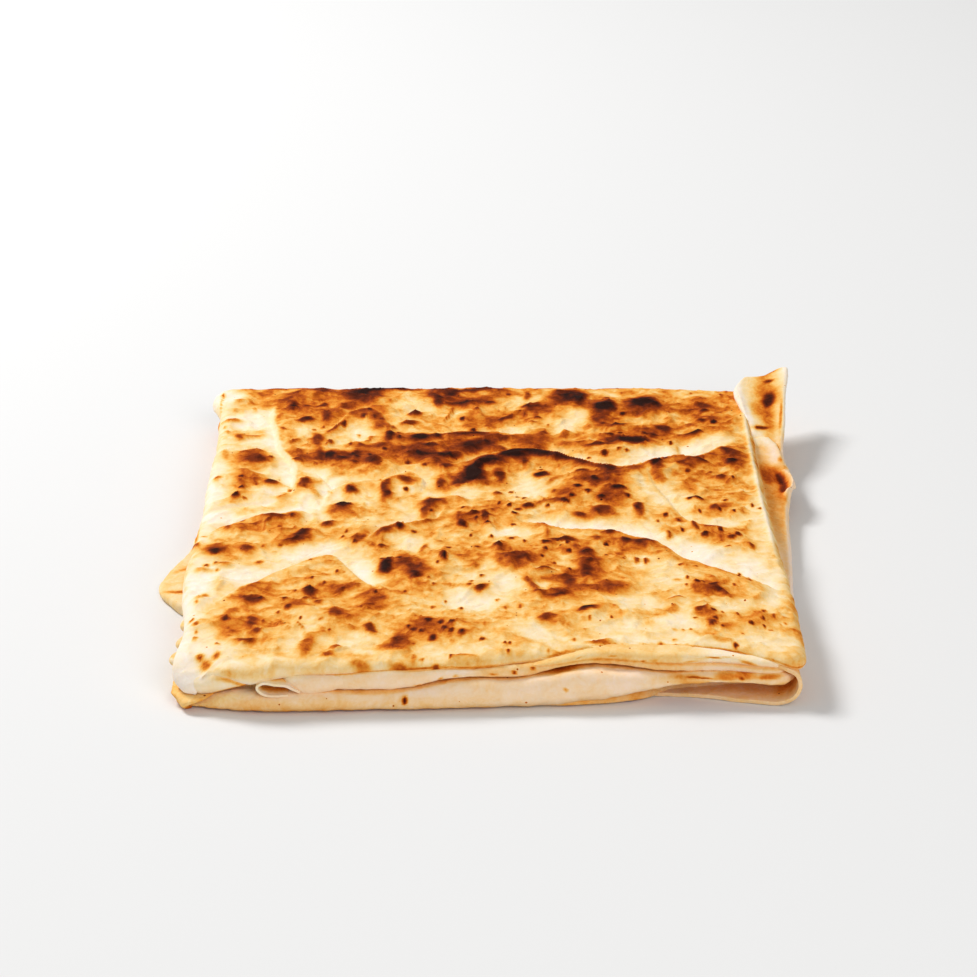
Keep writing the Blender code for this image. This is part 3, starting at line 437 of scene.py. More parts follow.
# %% Small spots: x, y, how wide and how tall in plan, how dark
SPOTS = [
    (-86.3, -17, 0.3, 6, 0.5), (-86.6, 87.5, 0.25, 4.5, 0.45), (-75.5, 82.5, 0.8, 1.5, 0.55),
    (-83, 63, 1, 1.5, 0.5), (-84, 67, 0.6, 1, 0.45), (-72, 40, 0.8, 0.8, 1.0),
    (-67.5, 40, 0.8, 1.2, 0.68), (-46, 67, 0.8, 2.4, 0.88), (-38, 78, 1.1, 1.7, 0.95),
    (-40, 72.5, 1, 1.4, 0.8), (-36.5, 71, 0.7, 1, 0.75), (-34, 70, 0.6, 1, 0.7),
    (-43.5, 52.5, 0.7, 1.2, 0.75), (-41, 59.5, 0.5, 1, 0.65), (-37, 42, 0.8, 1.2, 0.9),
    (-32.5, 47, 0.8, 1.2, 0.9), (-55.4, 63, 0.5, 1.2, 0.7), (-52.7, 65.5, 0.6, 1.2, 0.7),
    (-8.5, 73.5, 1, 1.4, 0.92), (-4, 80, 1, 1, 0.7), (-5, 63.5, 1.1, 1.7, 1.0),
    (-28.5, 61.5, 0.6, 1, 0.85), (-28, 56, 0.7, 1.4, 0.85), (19, 69, 0.5, 1.4, 0.65),
    (6.5, 95, 0.8, 1, 0.75), (23, 98.5, 0.8, 0.8, 0.92), (10, 81, 0.8, 0.8, 0.75),
    (-25, 37, 1, 1, 0.85), (-22, 44, 0.7, 1.4, 0.85), (-20, 34.5, 1, 1, 0.9),
    (16.5, 32, 0.7, 0.8, 0.88), (43, 78, 1, 1.2, 1.0), (38.5, 91.5, 0.6, 1, 0.8),
    (36.5, 69.5, 1.1, 0.8, 0.75), (42, 62.5, 1, 1, 0.85), (36.5, 46, 1.2, 1.1, 0.92),
    (31.5, 44, 0.6, 0.8, 0.92), (41, 48, 0.7, 0.7, 0.85), (43.5, 48, 0.7, 0.7, 0.85),
    (72, 72.5, 1.1, 1.4, 1.05), (57.5, 56, 0.6, 1.2, 0.92), (57, 76, 0.5, 1, 0.65),
    (74.5, 102, 0.7, 0.6, 0.9), (76, 96.5, 0.5, 1.2, 0.68), (66, 97.5, 0.5, 1, 0.6),
    (47.5, 40, 0.7, 0.7, 0.88), (42.5, 37, 0.9, 1.2, 0.92), (55, 40, 1.1, 1, 0.95),
    (-76, 25.5, 1, 1.2, 0.88), (-71, 21, 0.8, 1, 0.62), (-75.5, 17, 0.6, 1.2, 1.0),
    (-74, 9.5, 0.8, 1, 0.7), (-60.5, 17.5, 0.5, 1, 0.9), (-33.5, 23, 0.6, 1, 0.9),
    (-48, 15, 0.5, 1.4, 0.75), (-58.5, -5.5, 0.8, 1.5, 0.85), (-73.5, -7.5, 0.7, 0.7, 1.0),
    (-62, -12, 0.9, 1, 0.66), (-42, -14.5, 0.6, 1, 0.75), (-43, -18.5, 0.5, 0.8, 0.95),
    (-39, -22.5, 0.6, 1, 0.85), (-61, -24.5, 0.5, 1, 0.75), (-66, -25, 0.5, 1, 0.55),
    (-31, -34, 0.8, 1, 1.05), (-84, -18.5, 0.9, 0.6, 0.45), (-25, 16.5, 0.7, 1.2, 0.92),
    (7, 16, 0.5, 0.8, 0.9), (11, 11.5, 0.7, 0.8, 0.95), (9, 12.2, 0.5, 0.6, 0.85),
    (20, 14.5, 0.5, 1, 0.75), (30.5, 14, 0.8, 1.8, 0.92), (25.5, 10.5, 1, 1, 1.0),
    (18, 5.5, 0.6, 1, 0.92), (6.5, 4.5, 0.7, 1.2, 1.0), (3.5, 7, 0.5, 1, 0.9),
    (-7.5, 3.2, 0.7, 0.9, 0.95), (-22, -15, 0.9, 1, 0.8), (-17, 0.5, 0.5, 1, 0.92),
    (0, -8.5, 0.7, 1.2, 1.0), (-3.3, -5, 0.6, 1.2, 0.95), (8, -1.5, 0.8, 1, 1.0),
    (9, 2, 1.2, 0.9, 0.85), (7.5, -9, 0.7, 1, 0.95), (-5, -17, 0.4, 0.8, 0.92),
    (1, -17, 0.5, 1, 1.0), (7, -19.5, 1, 0.6, 0.92), (17.5, -22.5, 1.7, 0.9, 1.0),
    (23.5, -23, 0.6, 1, 1.05), (11, -22, 0.5, 0.8, 0.88), (-3, -25, 1, 0.7, 0.85),
    (-11.5, -26.5, 1, 1, 0.85), (17, -26.8, 0.7, 1.2, 0.95), (24, -28.3, 0.7, 1.2, 1.02),
    (16, -32, 0.6, 0.9, 0.95), (-26, -33.8, 1, 1.3, 0.95), (42.5, 12, 0.8, 1.2, 1.0),
    (61.5, 11.5, 1.2, 1, 1.0), (75.5, 26.5, 0.5, 1, 0.95), (61.5, 30.5, 0.8, 1, 0.85),
    (68.5, 31, 0.5, 0.8, 0.85), (70, 3, 0.6, 1, 0.9), (74, 1.5, 0.5, 0.8, 0.95),
    (64, 3, 0.4, 1.1, 0.9), (80, 6.5, 0.5, 1.2, 0.85), (82, 4, 0.4, 1, 0.9),
    (72, 10, 0.8, 0.8, 0.9), (58.3, -10, 0.5, 1.2, 1.0), (53.5, -1, 0.7, 1.2, 0.92),
    (57, -3.5, 0.4, 1.2, 0.9), (51, -4.5, 0.6, 1, 0.75), (69.5, -11, 0.6, 1.5, 0.95),
    (71, -22.5, 1, 0.8, 0.62), (73, -9, 0.6, 0.6, 0.95), (35, -24, 0.7, 1, 1.05),
    (40, -32.5, 0.4, 1, 0.9), (43.5, -34, 0.6, 1.5, 0.75), (46.3, -35, 0.6, 1.5, 0.8),
    (35, -31, 0.4, 0.8, 0.95), (-81.7, -39, 0.9, 0.9, 0.85), (-79, -38, 0.5, 1, 0.85),
    (-78, -42, 0.5, 1, 0.62), (-66.5, -35.5, 1.1, 1.1, 0.62), (-82.5, -64, 0.6, 1.2, 0.5),
    (-64.3, -62.5, 0.7, 1, 0.9), (-55, -56.5, 0.5, 0.9, 0.75), (-57.7, -62.5, 0.9, 1, 0.8),
    (-59, -71.5, 0.6, 1, 0.75), (-50.5, -48, 0.5, 1, 0.85), (-46.8, -50.5, 0.4, 1, 0.75),
    (-43.7, -42, 0.4, 1.2, 0.85), (-41.7, -42.5, 0.4, 0.8, 0.75), (-32, -57.5, 0.6, 0.9, 1.05),
    (-73.5, -76.5, 1.1, 1.1, 0.9), (-72, -81, 0.7, 1, 0.5), (-72, -86, 1.4, 0.8, 0.5),
    (-62.7, -77, 0.5, 0.9, 0.65), (-52.5, -75, 0.5, 0.8, 0.85), (-46.6, -76, 0.4, 0.9, 0.8),
    (-44, -81.5, 0.4, 0.7, 0.85), (-79, -95.3, 1.2, 1.0, 0.56), (-74.5, -95.6, 1.3, 1.2, 0.6),
    (-77.3, -97.8, 1.7, 1.5, 0.52), (-79, -95.3, 0.4, 0.4, 0.7), (-74.5, -95.6, 0.4, 0.4, 0.7),
    (-74.6, -90.3, 0.6, 0.7, 0.7), (-83, -75.5, 0.6, 1, 0.55), (-81.5, -78.5, 1.1, 0.9, 0.6),
    (-81, -82.5, 0.5, 1, 0.52), (-81, -86.5, 0.6, 1.2, 0.58), (-12.5, -34, 0.8, 2, 0.92),
    (-14.5, -38, 0.6, 1.2, 0.85), (-16.8, -48.5, 0.4, 0.8, 0.85), (-15.3, -51.7, 0.5, 0.7, 0.85),
    (-23.7, -56, 0.4, 1, 0.85), (-1.7, -45, 0.6, 0.9, 0.88), (-4.5, -49, 0.6, 0.8, 0.75),
    (-5, -51.5, 1, 0.9, 0.7), (3, -59.5, 0.4, 0.8, 0.8), (-7.5, -66, 0.5, 1.2, 0.88),
    (-15.5, -65.5, 0.7, 0.8, 0.7), (-11.7, -61.5, 0.3, 0.7, 0.75), (5, -65.5, 0.3, 0.8, 0.55),
    (9.3, -65, 0.8, 1.7, 0.7), (14.5, -57, 1.6, 1, 0.66), (23.7, -41, 0.5, 0.9, 0.85),
    (19.3, -36, 0.5, 0.8, 0.85), (21.4, -63.3, 0.3, 0.8, 0.8), (-16.5, -75, 1.1, 1.8, 0.88),
    (-13, -76.5, 0.9, 1.4, 0.9), (-9.8, -77, 0.9, 1.2, 1.0), (-11.8, -80.5, 0.8, 1.4, 0.92),
    (-10, -82, 0.8, 1.2, 0.85), (-7, -83, 0.8, 1.2, 0.95), (-22, -78.5, 0.8, 1.1, 0.92),
    (-20.5, -80.5, 0.9, 1.2, 0.85), (-18.5, -81.5, 0.8, 1.1, 0.9), (-15, -85.5, 1.2, 1.7, 0.95),
    (-20.5, -89, 0.6, 0.8, 0.65), (-28.3, -90.5, 0.3, 0.9, 0.66), (-1.3, -86.3, 0.8, 0.9, 0.85),
    (-20, -96, 1, 1.4, 0.52), (-17.8, -97, 0.5, 0.8, 0.66), (-9.8, -95.5, 0.5, 1, 0.8),
    (-13.8, -99, 1.2, 0.7, 0.66), (5, -88.5, 0.5, 0.6, 0.8), (6.3, -88.5, 0.4, 0.8, 0.92),
    (6, -93, 0.4, 0.8, 0.9), (24.2, -84.5, 0.6, 1.2, 0.6), (16.8, -91.5, 0.3, 0.8, 0.66),
    (31.5, -89, 0.4, 0.9, 0.85), (56, -37.5, 0.8, 0.7, 0.8), (60.5, -38.7, 0.6, 0.5, 0.7),
    (73.3, -40, 0.4, 0.8, 0.9), (72.5, -45, 0.5, 0.8, 0.9), (75.5, -47.7, 0.6, 0.7, 0.88),
    (57.5, -47, 0.6, 0.8, 0.78), (54.5, -47.5, 1.1, 0.9, 0.5), (65, -47, 0.4, 0.9, 0.82),
    (60.3, -51.2, 0.8, 0.9, 0.92), (57.2, -51.5, 0.4, 0.8, 0.75), (62, -51, 0.4, 0.8, 0.78),
    (71, -51, 0.4, 0.9, 0.78), (53, -63.5, 0.5, 0.8, 0.66), (51.5, -54.5, 0.4, 0.7, 0.55),
    (64, -67.3, 0.6, 0.9, 0.92), (64.3, -72.5, 0.5, 1.2, 0.9), (58.7, -71.5, 0.5, 0.9, 0.8),
    (66.4, -68.5, 0.4, 0.8, 0.78), (66.3, -77.5, 0.4, 0.8, 0.88), (78.3, -66.5, 0.7, 1.4, 0.8),
    (77.5, -73, 0.5, 0.9, 0.88), (74.2, -76.3, 0.9, 0.9, 0.88), (77.7, -76.8, 0.5, 0.8, 0.92),
    (79.5, -78.8, 0.5, 0.6, 0.8), (82.2, -75.5, 0.3, 0.8, 0.66), (84, -74.5, 0.4, 0.8, 0.66),
    (80.8, -70.5, 0.7, 1.8, 0.58), (70.5, -70, 0.3, 0.8, 0.75), (29, -73, 0.5, 1, 0.65),
    (35, -71, 0.3, 0.8, 0.78), (48.3, -86, 0.8, 0.9, 0.66), (52.4, -84, 0.4, 0.9, 0.82),
    (52.6, -87.5, 0.3, 0.8, 0.78), (52.5, -78.7, 0.4, 0.6, 0.55), (54.8, -78.5, 0.5, 0.8, 0.6),
    (57, -78.3, 0.5, 0.8, 0.62), (69, -88.3, 0.8, 1.3, 0.92), (71.3, -81.5, 0.3, 0.7, 0.66),
    (56.5, -92, 0.4, 0.7, 0.8), (-86.6, 93.2, 0.6, 0.9, 0.75), (-86.8, 89.5, 0.3, 2.2, 0.4),
]
# each spot is raised half as wide again as it is listed, and browned a little narrower
SPOTS_RAISED = [(x, y, 1.5 * wide, 1.5 * tall, dark) for x, y, wide, tall, dark in SPOTS]
SPOTS_BROWNED = [(x, y, 0.9 * wide, tall, 1.12 * dark) for x, y, wide, tall, dark in SPOTS]
print(len(SPOTS), "small spots")

# %% Wide stretches: x, y, half length, half width, how toasted or how pale, turn if any
TOASTED = [
    (-58, 84, 11, 14, 0.46), (-44, 74, 8, 8, 0.5), (-50, 45, 10, 8, 0.46), (-74, 43, 7, 6, 0.36),
    (-72, 24, 9, 6, 0.4, -20), (-70, -11, 12, 5, 0.45, -10), (-56, -16, 7, 6, 0.45),
    (-10, 94, 14, 8, 0.46), (-22, 54, 10, 11, 0.5), (0, 53, 16, 10, 0.6, 10), (-20, 40, 9, 8, 0.55),
    (12, 34, 12, 6, 0.5, -15), (35, 24, 8, 13, 0.52), (40, 84, 15, 10, 0.48), (48, 60, 12, 8, 0.52),
    (68, 77, 10, 9, 0.42), (72, 42, 8, 8, 0.5), (68, 25, 9, 8, 0.42), (69, 4, 8, 6, 0.48, -20),
    (70, -14, 10, 6, 0.46), (54, -6, 4.5, 8, 0.46), (20, 8, 10, 6, 0.44, 20), (0, 0, 8, 9, 0.42),
    (-18, 1, 4, 11, 0.45), (-35, -18, 6, 9, 0.5, -10), (-66, -57, 6, 8, 0.46, -25),
    (-52, -60, 7, 8, 0.44), (-42, -52, 8, 4, 0.44, -10), (-33, -62, 6, 7, 0.45),
    (-23, -46, 8, 10, 0.46), (0, -29, 12, 5, 0.46, 5), (8, -35, 9, 6, 0.6), (22, -25, 8, 7, 0.46),
    (24, -50, 10, 9, 0.55), (42, -24, 12, 6, 0.52, -25), (36, -53, 8, 5, 0.48),
    (64, -54, 7, 8, 0.42, 20), (62, -70, 5, 8, 0.44), (76, -73, 8, 6, 0.38, -20),
    (-13, -80, 9, 6, 0.46, -30), (-25, -88, 6, 7, 0.46), (-68, -80, 7, 9, 0.42),
    (-43, -73, 5, 5, 0.44), (30, -86, 9, 3, 0.42), (5, -89, 4, 5, 0.36), (17, -73, 4, 3, 0.44),
    (66, -85, 7, 3, 0.36), (40, -42, 14, 8, 0.3, -20), (-45, 2, 5, 6, 0.4), (-30, 25, 7, 6, 0.46),
    (-10, 24, 7, 8, 0.5), (30, 0, 6, 5, 0.44), (-86, 90, 5, 8, 0.16), (14, 80, 5, 8, 0.4),
    (-75, 85, 8, 10, 0.34), (28, 62, 5, 6, 0.42),
]
PALE = [
    (-76, 72, 6, 9, 1.0), (-72, 53, 8, 4, 0.9, -10), (-64, 41, 2.6, 12, 0.95, 20),
    (-62, 27, 2, 8, 0.9, 10), (-54, 4, 5, 9, 0.9), (-46.5, 13, 2.5, 6, 0.9, 15),
    (-53, 29, 5, 3, 0.7, -40), (-56, 65, 3.5, 5, 0.5), (-43, 62, 5, 7, 0.55),
    (-34, 43, 2.4, 3, 0.6), (4, 66, 5, 4.5, 0.8), (4, 90, 4, 5, 0.5), (17, 92, 3, 4, 0.5),
    (-25, 90, 4, 7, 0.5), (28, 73, 4, 9, 0.6), (38, 97, 7, 2.4, 0.6, -15),
    (52, 77, 8, 3.5, 0.5, 20), (64, 53, 4.5, 5, 0.95), (53, 46, 6, 4, 0.9, 20),
    (38, 42, 7, 3, 0.85, -15), (-7, 38.5, 4, 1.8, 0.9, 35), (50, 16, 3.5, 9, 0.6, 15),
    (70, -4.5, 6, 2.6, 0.6, -15), (49, -13, 10, 3.6, 0.85, -25), (62, -26, 10, 7, 0.95, -30),
    (76, -34, 5, 9, 0.85), (82, -54, 3, 12, 0.8), (30, -8, 9, 3.4, 0.85), (5, -14, 5, 3.6, 0.75),
    (-13.5, -4, 1.8, 6.5, 1.0, -15), (-5, 15, 3.5, 5.5, 0.7), (-25, 1, 4, 8, 0.5),
    (-25, -21, 4, 4, 0.45), (-54, -28, 9, 4, 1.0, 20), (-73, -44, 10, 6, 0.95, 20),
    (-82, -52, 4, 14, 0.95), (-81, -3, 6, 4.5, 0.95, 30), (-63, 15, 4, 3, 0.6),
    (-36, -44, 3.6, 7, 0.6, 20), (-31, -50, 3, 3, 0.4), (17, -48, 2, 4.5, 0.85),
    (-5, -61, 9, 6.5, 0.9), (5, -49, 4.5, 8, 0.8), (-76, -96, 8, 8, 0.85), (-50, -100, 30, 3, 0.6),
    (13, -81, 8, 5, 0.75, -20), (45, -81, 13, 6, 0.6), (56, -66, 2.6, 5, 0.5),
    (-39, -86, 8, 6, 0.4), (-84, 20, 2.6, 30, 0.85), (-84, -75, 3, 25, 0.8), (-88, 95, 2, 7, 0.9),
    (-20, -95, 20, 3, 0.4), (-40, 8, 3, 6, 0.3), (-46.5, -26.5, 5, 3, 0.85, 25),
    (-36.5, -38, 3, 8, 0.9, 10), (-34, -46, 3.5, 4, 0.7, 20), (-22, -24, 6, 5, 0.75),
    (-40, -27, 4, 5, 0.6), (-49, 2, 2.5, 12, 0.9), (-68, 12, 6, 7, 0.7), (-17, 12, 5, 4, 0.85, 20),
    (-47, 50, 5, 8, 0.85), (-40, 63, 5, 8, 0.85), (-58, 62, 3.5, 6, 0.7), (16, 22, 7, 8, 0.75, 20),
    (12, 15, 6, 5, 0.7), (-7, 15, 7, 4, 0.6, 10), (0, -37, 2.5, 6, 0.75), (-2, -46, 4, 6, 0.6),
    (17, -46, 2.2, 4, 0.95), (42, -60, 8, 6, 0.75), (52, -46, 9, 6, 0.7), (54, -74, 7, 6, 0.8),
    (36, -76, 8, 5, 0.7), (68, -64, 6, 4, 0.6), (48, -36, 9, 5, 0.6, -30), (24, 68, 4, 6, 0.75),
    (28, 78, 4, 5, 0.75), (6, 66, 5, 4, 0.8), (-23, 62, 3.5, 3, 0.8), (-27, 52, 2.5, 4, 0.7),
    (10, 90, 4, 4, 0.6), (-24, 84, 6, 7, 0.6), (72, 58, 6, 5, 0.7), (-68, 30, 5, 4, 0.8),
    (-48, 20, 2.4, 9, 0.9, -20), (-38, 10, 4, 8, 0.5), (-25, 20, 4, 7, 0.6), (16, 6, 5, 3, 0.6, 20),
    (8, -14, 6, 4, 0.75), (25, -14, 7, 3, 0.6), (-76, -85, 5, 6, 0.5), (-52, -88, 5, 8, 0.5),
    (-35, -90, 6, 5, 0.4), (45, -86, 36, 5, 0.75), (78, -84, 8, 10, 0.6), (0, -92, 20, 5, 0.5),
    (-84, 93, 5, 7, 0.95), (-80, -92, 9, 12, 0.7), (82, -10, 3, 20, 0.5),
]
print(len(TOASTED), "toasted and", len(PALE), "pale stretches")

# %% [markdown]
# ## From lists to one number
# Browning is worked out for all points of a leaf at once.  Each ellipse gives a dark core
# and a wide, weak halo, which is how heat spreads through dough.  Joining them as
# the cube root of the sum of cubes keeps the darkest, where a plain sum would blacken
# every overlap.

# %% Browning of the top
def ellipses(x, y, rows, core):
    """For each row (x, y, half length, half width, strength, and a turn if it has one) its
    strength times `core` / (1 + d^5) + (1 - `core`) exp(-0.24 d^2), where d is 1 on the
    ellipse; then the cube root of the sum of their cubes."""
    total = np.zeros(x.shape)
    for cx, cy, half_length, half_width, strength, *turn in rows:
        reach = 4 * half_length + 4 * half_width
        near = (np.abs(x - cx) < reach) & (np.abs(y - cy) < reach)
        dx, dy = x[near] - cx, y[near] - cy
        angle = math.radians(sum(turn))
        c, s = math.cos(angle), math.sin(angle)
        d2 = ((c * dx + s * dy) / half_length) ** 2 + ((c * dy - s * dx) / half_width) ** 2
        total[near] += (strength * (core / (1 + d2 ** 2.5) + (1 - core) * np.exp(-0.24 * d2))) ** 3
    return np.cbrt(total)


def wrinkles(x, y):
    """Fine crossing ridges, from 0 to 1: high where a noise of 5 mm passes through zero."""
    fx, fy = warped(x, y, 2.0, 6.0, 231)
    return (1 - np.abs(noise(fx, 1.5 * fy, 5.0, 237))) ** 6


def top_browning(x, y):
    """The toasted ground less its pale stretches, joined with the crests, scorches and
    spots, and lightened along the crease lips as a painted highlight.
    """
    wx = x + 1.1 * noise(x, y, 6.0, 101) + 0.55 * noise(x, y, 2.4, 102)
    wy = y + 1.3 * noise(x, y, 6.0, 103) + 0.6 * noise(x, y, 2.4, 104)
    fx, fy = warped(x, y, 3.0, 8.0, 111)
    ground = 0.36 + 0.04 * smooth((y + 20) / 60) + 0.08 * rough(x, y, 16.0, 110)
    ground = ground - 0.21 * smooth((-75 - x) / 10) + 0.14 * (wrinkles(x, y) - 0.25)
    ground = ground + 0.34 * np.minimum(ellipses(wx, wy, TOASTED, 1.0), 1)
    ground = ground * (1 + 0.5 * rough(fx, 1.3 * fy, 4.5, 105)
                       + 0.2 * noise(1.6 * fx, fy, 1.7, 106))
    ground = ground * (1 - 0.8 * np.minimum(ellipses(wx, wy, PALE, 1.0), 1))
    crests, valleys, lips = np.zeros((3,) + x.shape)
    for crease in CREASES:
        crest, valley, lip = crease.colour(x, y)
        valleys = np.maximum(valleys, valley)
        crests = np.maximum(crests, crest * (0.9 + 0.35 * noise(x, y, 9.0, 107)))
        lips = np.maximum(lips, lip)
    ground = ground * (1 - 0.88 * valleys)
    dark = ellipses(wx, wy, SCORCHES, 0.65) * (0.98 + 0.22 * rough(fx, fy, 3.0, 108))
    dark = dark * (1 - 0.4 * valleys)
    spots = ellipses(x + 0.2 * noise(x, y, 1.5, 109), y, SPOTS_BROWNED, 0.68)
    browned = np.cbrt(np.clip(ground, 0, 2) ** 3 + crests ** 3 + dark ** 3 + spots ** 3)
    # painted highlight: the crease lips are made pale
    return browned * (1 - 0.85 * lips) + 0.08 * lips


print("browning on a scorch, a crest and a pale valley:",
      np.round(top_browning(np.array([0.5, 8.0, 62.0]), np.array([37.0, 42.0, -26.0])), 2))

# %% [markdown]
# ## Griddled dough
# All of the parcel is one material: a dough of flour, water and salt, rolled thin and
# baked dry on hot iron.  It has almost no gloss, and light goes a little way into it, which
# softens its pale folds.  Its colour comes from the browning number through one ramp, from
# cream by gold, orange brown and dark brown to char.  A picture could hold the scorches
# too, but a number at each point stays sharp on any view and is easy to change.

# %% Helpers for colours and nodes
def linear(code):
    """Linear red, green, blue and 1 from an sRGB hex code."""
    parts = (int(code[i:i + 2], 16) / 255 for i in (1, 3, 5))
    return tuple(p / 12.92 if p <= 0.04045 else ((p + 0.055) / 1.055) ** 2.4
                 for p in parts) + (1.0,)


def add(material, kind, links=(), **settings):
    """Adds a node to the material: `settings` are its properties or the values of its
    inputs, and `links` are (input, node, output) triples or (input, value) pairs."""
    node = material.node_tree.nodes.new(kind)
    for key, value in settings.items():
        if hasattr(node, key):
            setattr(node, key, value)
        else:
            node.inputs[key.replace("_", " ")].default_value = value
    for socket, source, *output in links:
        if output:
            material.node_tree.links.new(source.outputs[output[0]], node.inputs[socket])
        else:
            node.inputs[socket].default_value = source
    return node


def set_inputs(node, values):
    """Sets a node's inputs, by name, to constant values."""
    for name, value in values.items():
        node.inputs[name].default_value = value


CRUST_COLOURS = [(0.00, "#faeddf"), (0.10, "#f8e1b8"), (0.20, "#f5cf8c"), (0.30, "#f0b65e"),
                 (0.40, "#e59332"), (0.50, "#cf6d18"), (0.60, "#a8490c"), (0.70, "#7f3009"),
                 (0.82, "#5a2009"), (0.92, "#3f160a"), (1.00, "#28110b")]
RAMP_TOP = 1.15     # the browning number that is char
print("cream in linear light:", np.round(linear(CRUST_COLOURS[0][1])[:3], 3))

# %% The dough
dough = bpy.data.materials.new("griddled_dough")
dough.use_nodes = True
shader = dough.node_tree.nodes["Principled BSDF"]
place = add(dough, "ShaderNodeTexCoord")
# the browning number also holds painted shade along the seams, slits and grooves and painted
# highlights on the crease lips
browning_and_painted_light = add(dough, "ShaderNodeAttribute", attribute_name="browning_and_painted_light")
# flecks of flour and crumb, about 0.9 mm, and drifts of 4 mm; noise scales are per metre
flecks = add(dough, "ShaderNodeTexNoise", [("Vector", place, "Object")], Scale=1 / 0.0009,
             Detail=3.0, Roughness=0.6)
drifts = add(dough, "ShaderNodeTexNoise", [("Vector", place, "Object")], Scale=1 / 0.004,
             Detail=4.0, Roughness=0.62, Distortion=0.6)
fleck_part = add(dough, "ShaderNodeMath", [(0, flecks, "Fac"), (1, 0.22), (2, -0.11)],
                 operation="MULTIPLY_ADD")
drift_part = add(dough, "ShaderNodeMath", [(0, drifts, "Fac"), (1, 0.5), (2, -0.25)],
                 operation="MULTIPLY_ADD")
both = add(dough, "ShaderNodeMath", [(0, fleck_part, "Value"), (1, drift_part, "Value")],
           operation="ADD")
# the mottling shows on toasted dough and fades on raw dough and on char
share = add(dough, "ShaderNodeMapRange", [("Value", browning_and_painted_light, "Fac")], From_Min=0.0,
            From_Max=0.45, To_Min=0.25, To_Max=1.0)
mottle = add(dough, "ShaderNodeMath", [(0, both, "Value"), (1, share, "Result")],
             operation="MULTIPLY")
# burst pin blisters: the middle of about one cell in six, 0.4 mm across, 2.6 mm apart
cells = add(dough, "ShaderNodeTexVoronoi", [("Vector", place, "Object")], Scale=1 / 0.0026,
            Randomness=1.0)
pick = add(dough, "ShaderNodeSeparateColor", [("Color", cells, "Color")])
chosen = add(dough, "ShaderNodeMapRange", [("Value", pick, "Red")], From_Min=0.80,
             From_Max=1.0, To_Min=0.0, To_Max=0.17)
inside = add(dough, "ShaderNodeMath", [(0, chosen, "Result"), (1, cells, "Distance")],
             operation="SUBTRACT")
pins = add(dough, "ShaderNodeMapRange", [("Value", inside, "Value")], From_Min=0.0,
           From_Max=0.05, To_Min=0.0, To_Max=0.5)
toasted = add(dough, "ShaderNodeMath", [(0, browning_and_painted_light, "Fac"), (1, mottle, "Value")],
              operation="ADD")
total = add(dough, "ShaderNodeMath", [(0, toasted, "Value"), (1, pins, "Result")],
            operation="ADD")
scaled = add(dough, "ShaderNodeMath", [(0, total, "Value"), (1, 1 / RAMP_TOP)],
             operation="MULTIPLY")
ramp = add(dough, "ShaderNodeValToRGB", [("Fac", scaled, "Value")])
for at, code in CRUST_COLOURS[1:-1]:
    ramp.color_ramp.elements.new(at)
for element, (at, code) in zip(ramp.color_ramp.elements, CRUST_COLOURS):
    element.position, element.color = at, linear(code)
# dough that was only steamed between its neighbours is a little pinker than toasted dough
steamed = add(dough, "ShaderNodeAttribute", attribute_name="steamed")
tinted = add(dough, "ShaderNodeMixRGB", [("Fac", steamed, "Fac"), ("Color1", ramp, "Color")],
             blend_type="MULTIPLY", Color2=linear("#fff5f6"))
dough.node_tree.links.new(tinted.outputs["Color"], shader.inputs["Base Color"])
set_inputs(shader, {"Roughness": 0.7, "Specular IOR Level": 0.05, "Subsurface Weight": 0.06,
                    "Subsurface Radius": (1.0, 0.55, 0.3), "Subsurface Scale": 0.0015})
skin = add(dough, "ShaderNodeBump", [("Height", drifts, "Fac")], Strength=0.55, Distance=0.0006)
grain = add(dough, "ShaderNodeBump", [("Height", flecks, "Fac"), ("Normal", skin, "Normal")],
            Strength=0.4, Distance=0.0002)
dough.node_tree.links.new(grain.outputs["Normal"], shader.inputs["Normal"])
print(dough.name, "with", len(dough.node_tree.nodes), "nodes")

# %% [markdown]
# ## How a leaf of dough is made
# Each leaf is a cushion: a grid of points bent to the leaf's four edges, whose height falls
# at the rim as a quarter circle does.  The rim then rolls under on rows of points that
# follow it, and a fan of triangles closes the underside, which lies hidden on the layer
# below.  Where both faces show, as on the raised corner, the leaf has a second grid instead.
# Cloth simulation could fold a real sheet, but a formula puts each fold just where it is.

# %% Grids, rings and triangles
def fold_lines(span, step, rim, rows):
    """Distances from one edge of a leaf to its grid lines: `rows` of them crowd on each
    rounded rim, as the shadow of a turning spoke does, and the rest are `step` apart."""
    crowd = rim * (1 - np.cos(np.linspace(0, math.pi / 2, rows + 1)))
    inner = np.linspace(rim, span - rim, max(2, round((span - 2 * rim) / step)) + 1)
    return np.concatenate([crowd[:-1], inner, span - crowd[:-1][::-1]])


def grid_triangles(index):
    """Two triangles for each square of an index grid, split so that the diagonals of its
    four corner squares end on its corners."""
    a, b, c, d = index[:-1, :-1], index[:-1, 1:], index[1:, 1:], index[1:, :-1]
    rows, columns = a.shape
    low = np.arange(rows)[:, None] < rows / 2
    left = np.arange(columns)[None, :] < columns / 2
    rising = (low == left)
    one = np.where(rising[..., None], np.stack([a, b, c], -1), np.stack([a, b, d], -1))
    two = np.where(rising[..., None], np.stack([a, c, d], -1), np.stack([b, c, d], -1))
    return np.concatenate([one.reshape(-1, 3), two.reshape(-1, 3)])


def border(index):
    """The grid's border, once round from its first corner, anticlockwise from above."""
    return np.concatenate([index[0, :-1], index[:-1, -1], index[-1, :0:-1], index[:0:-1, 0]])


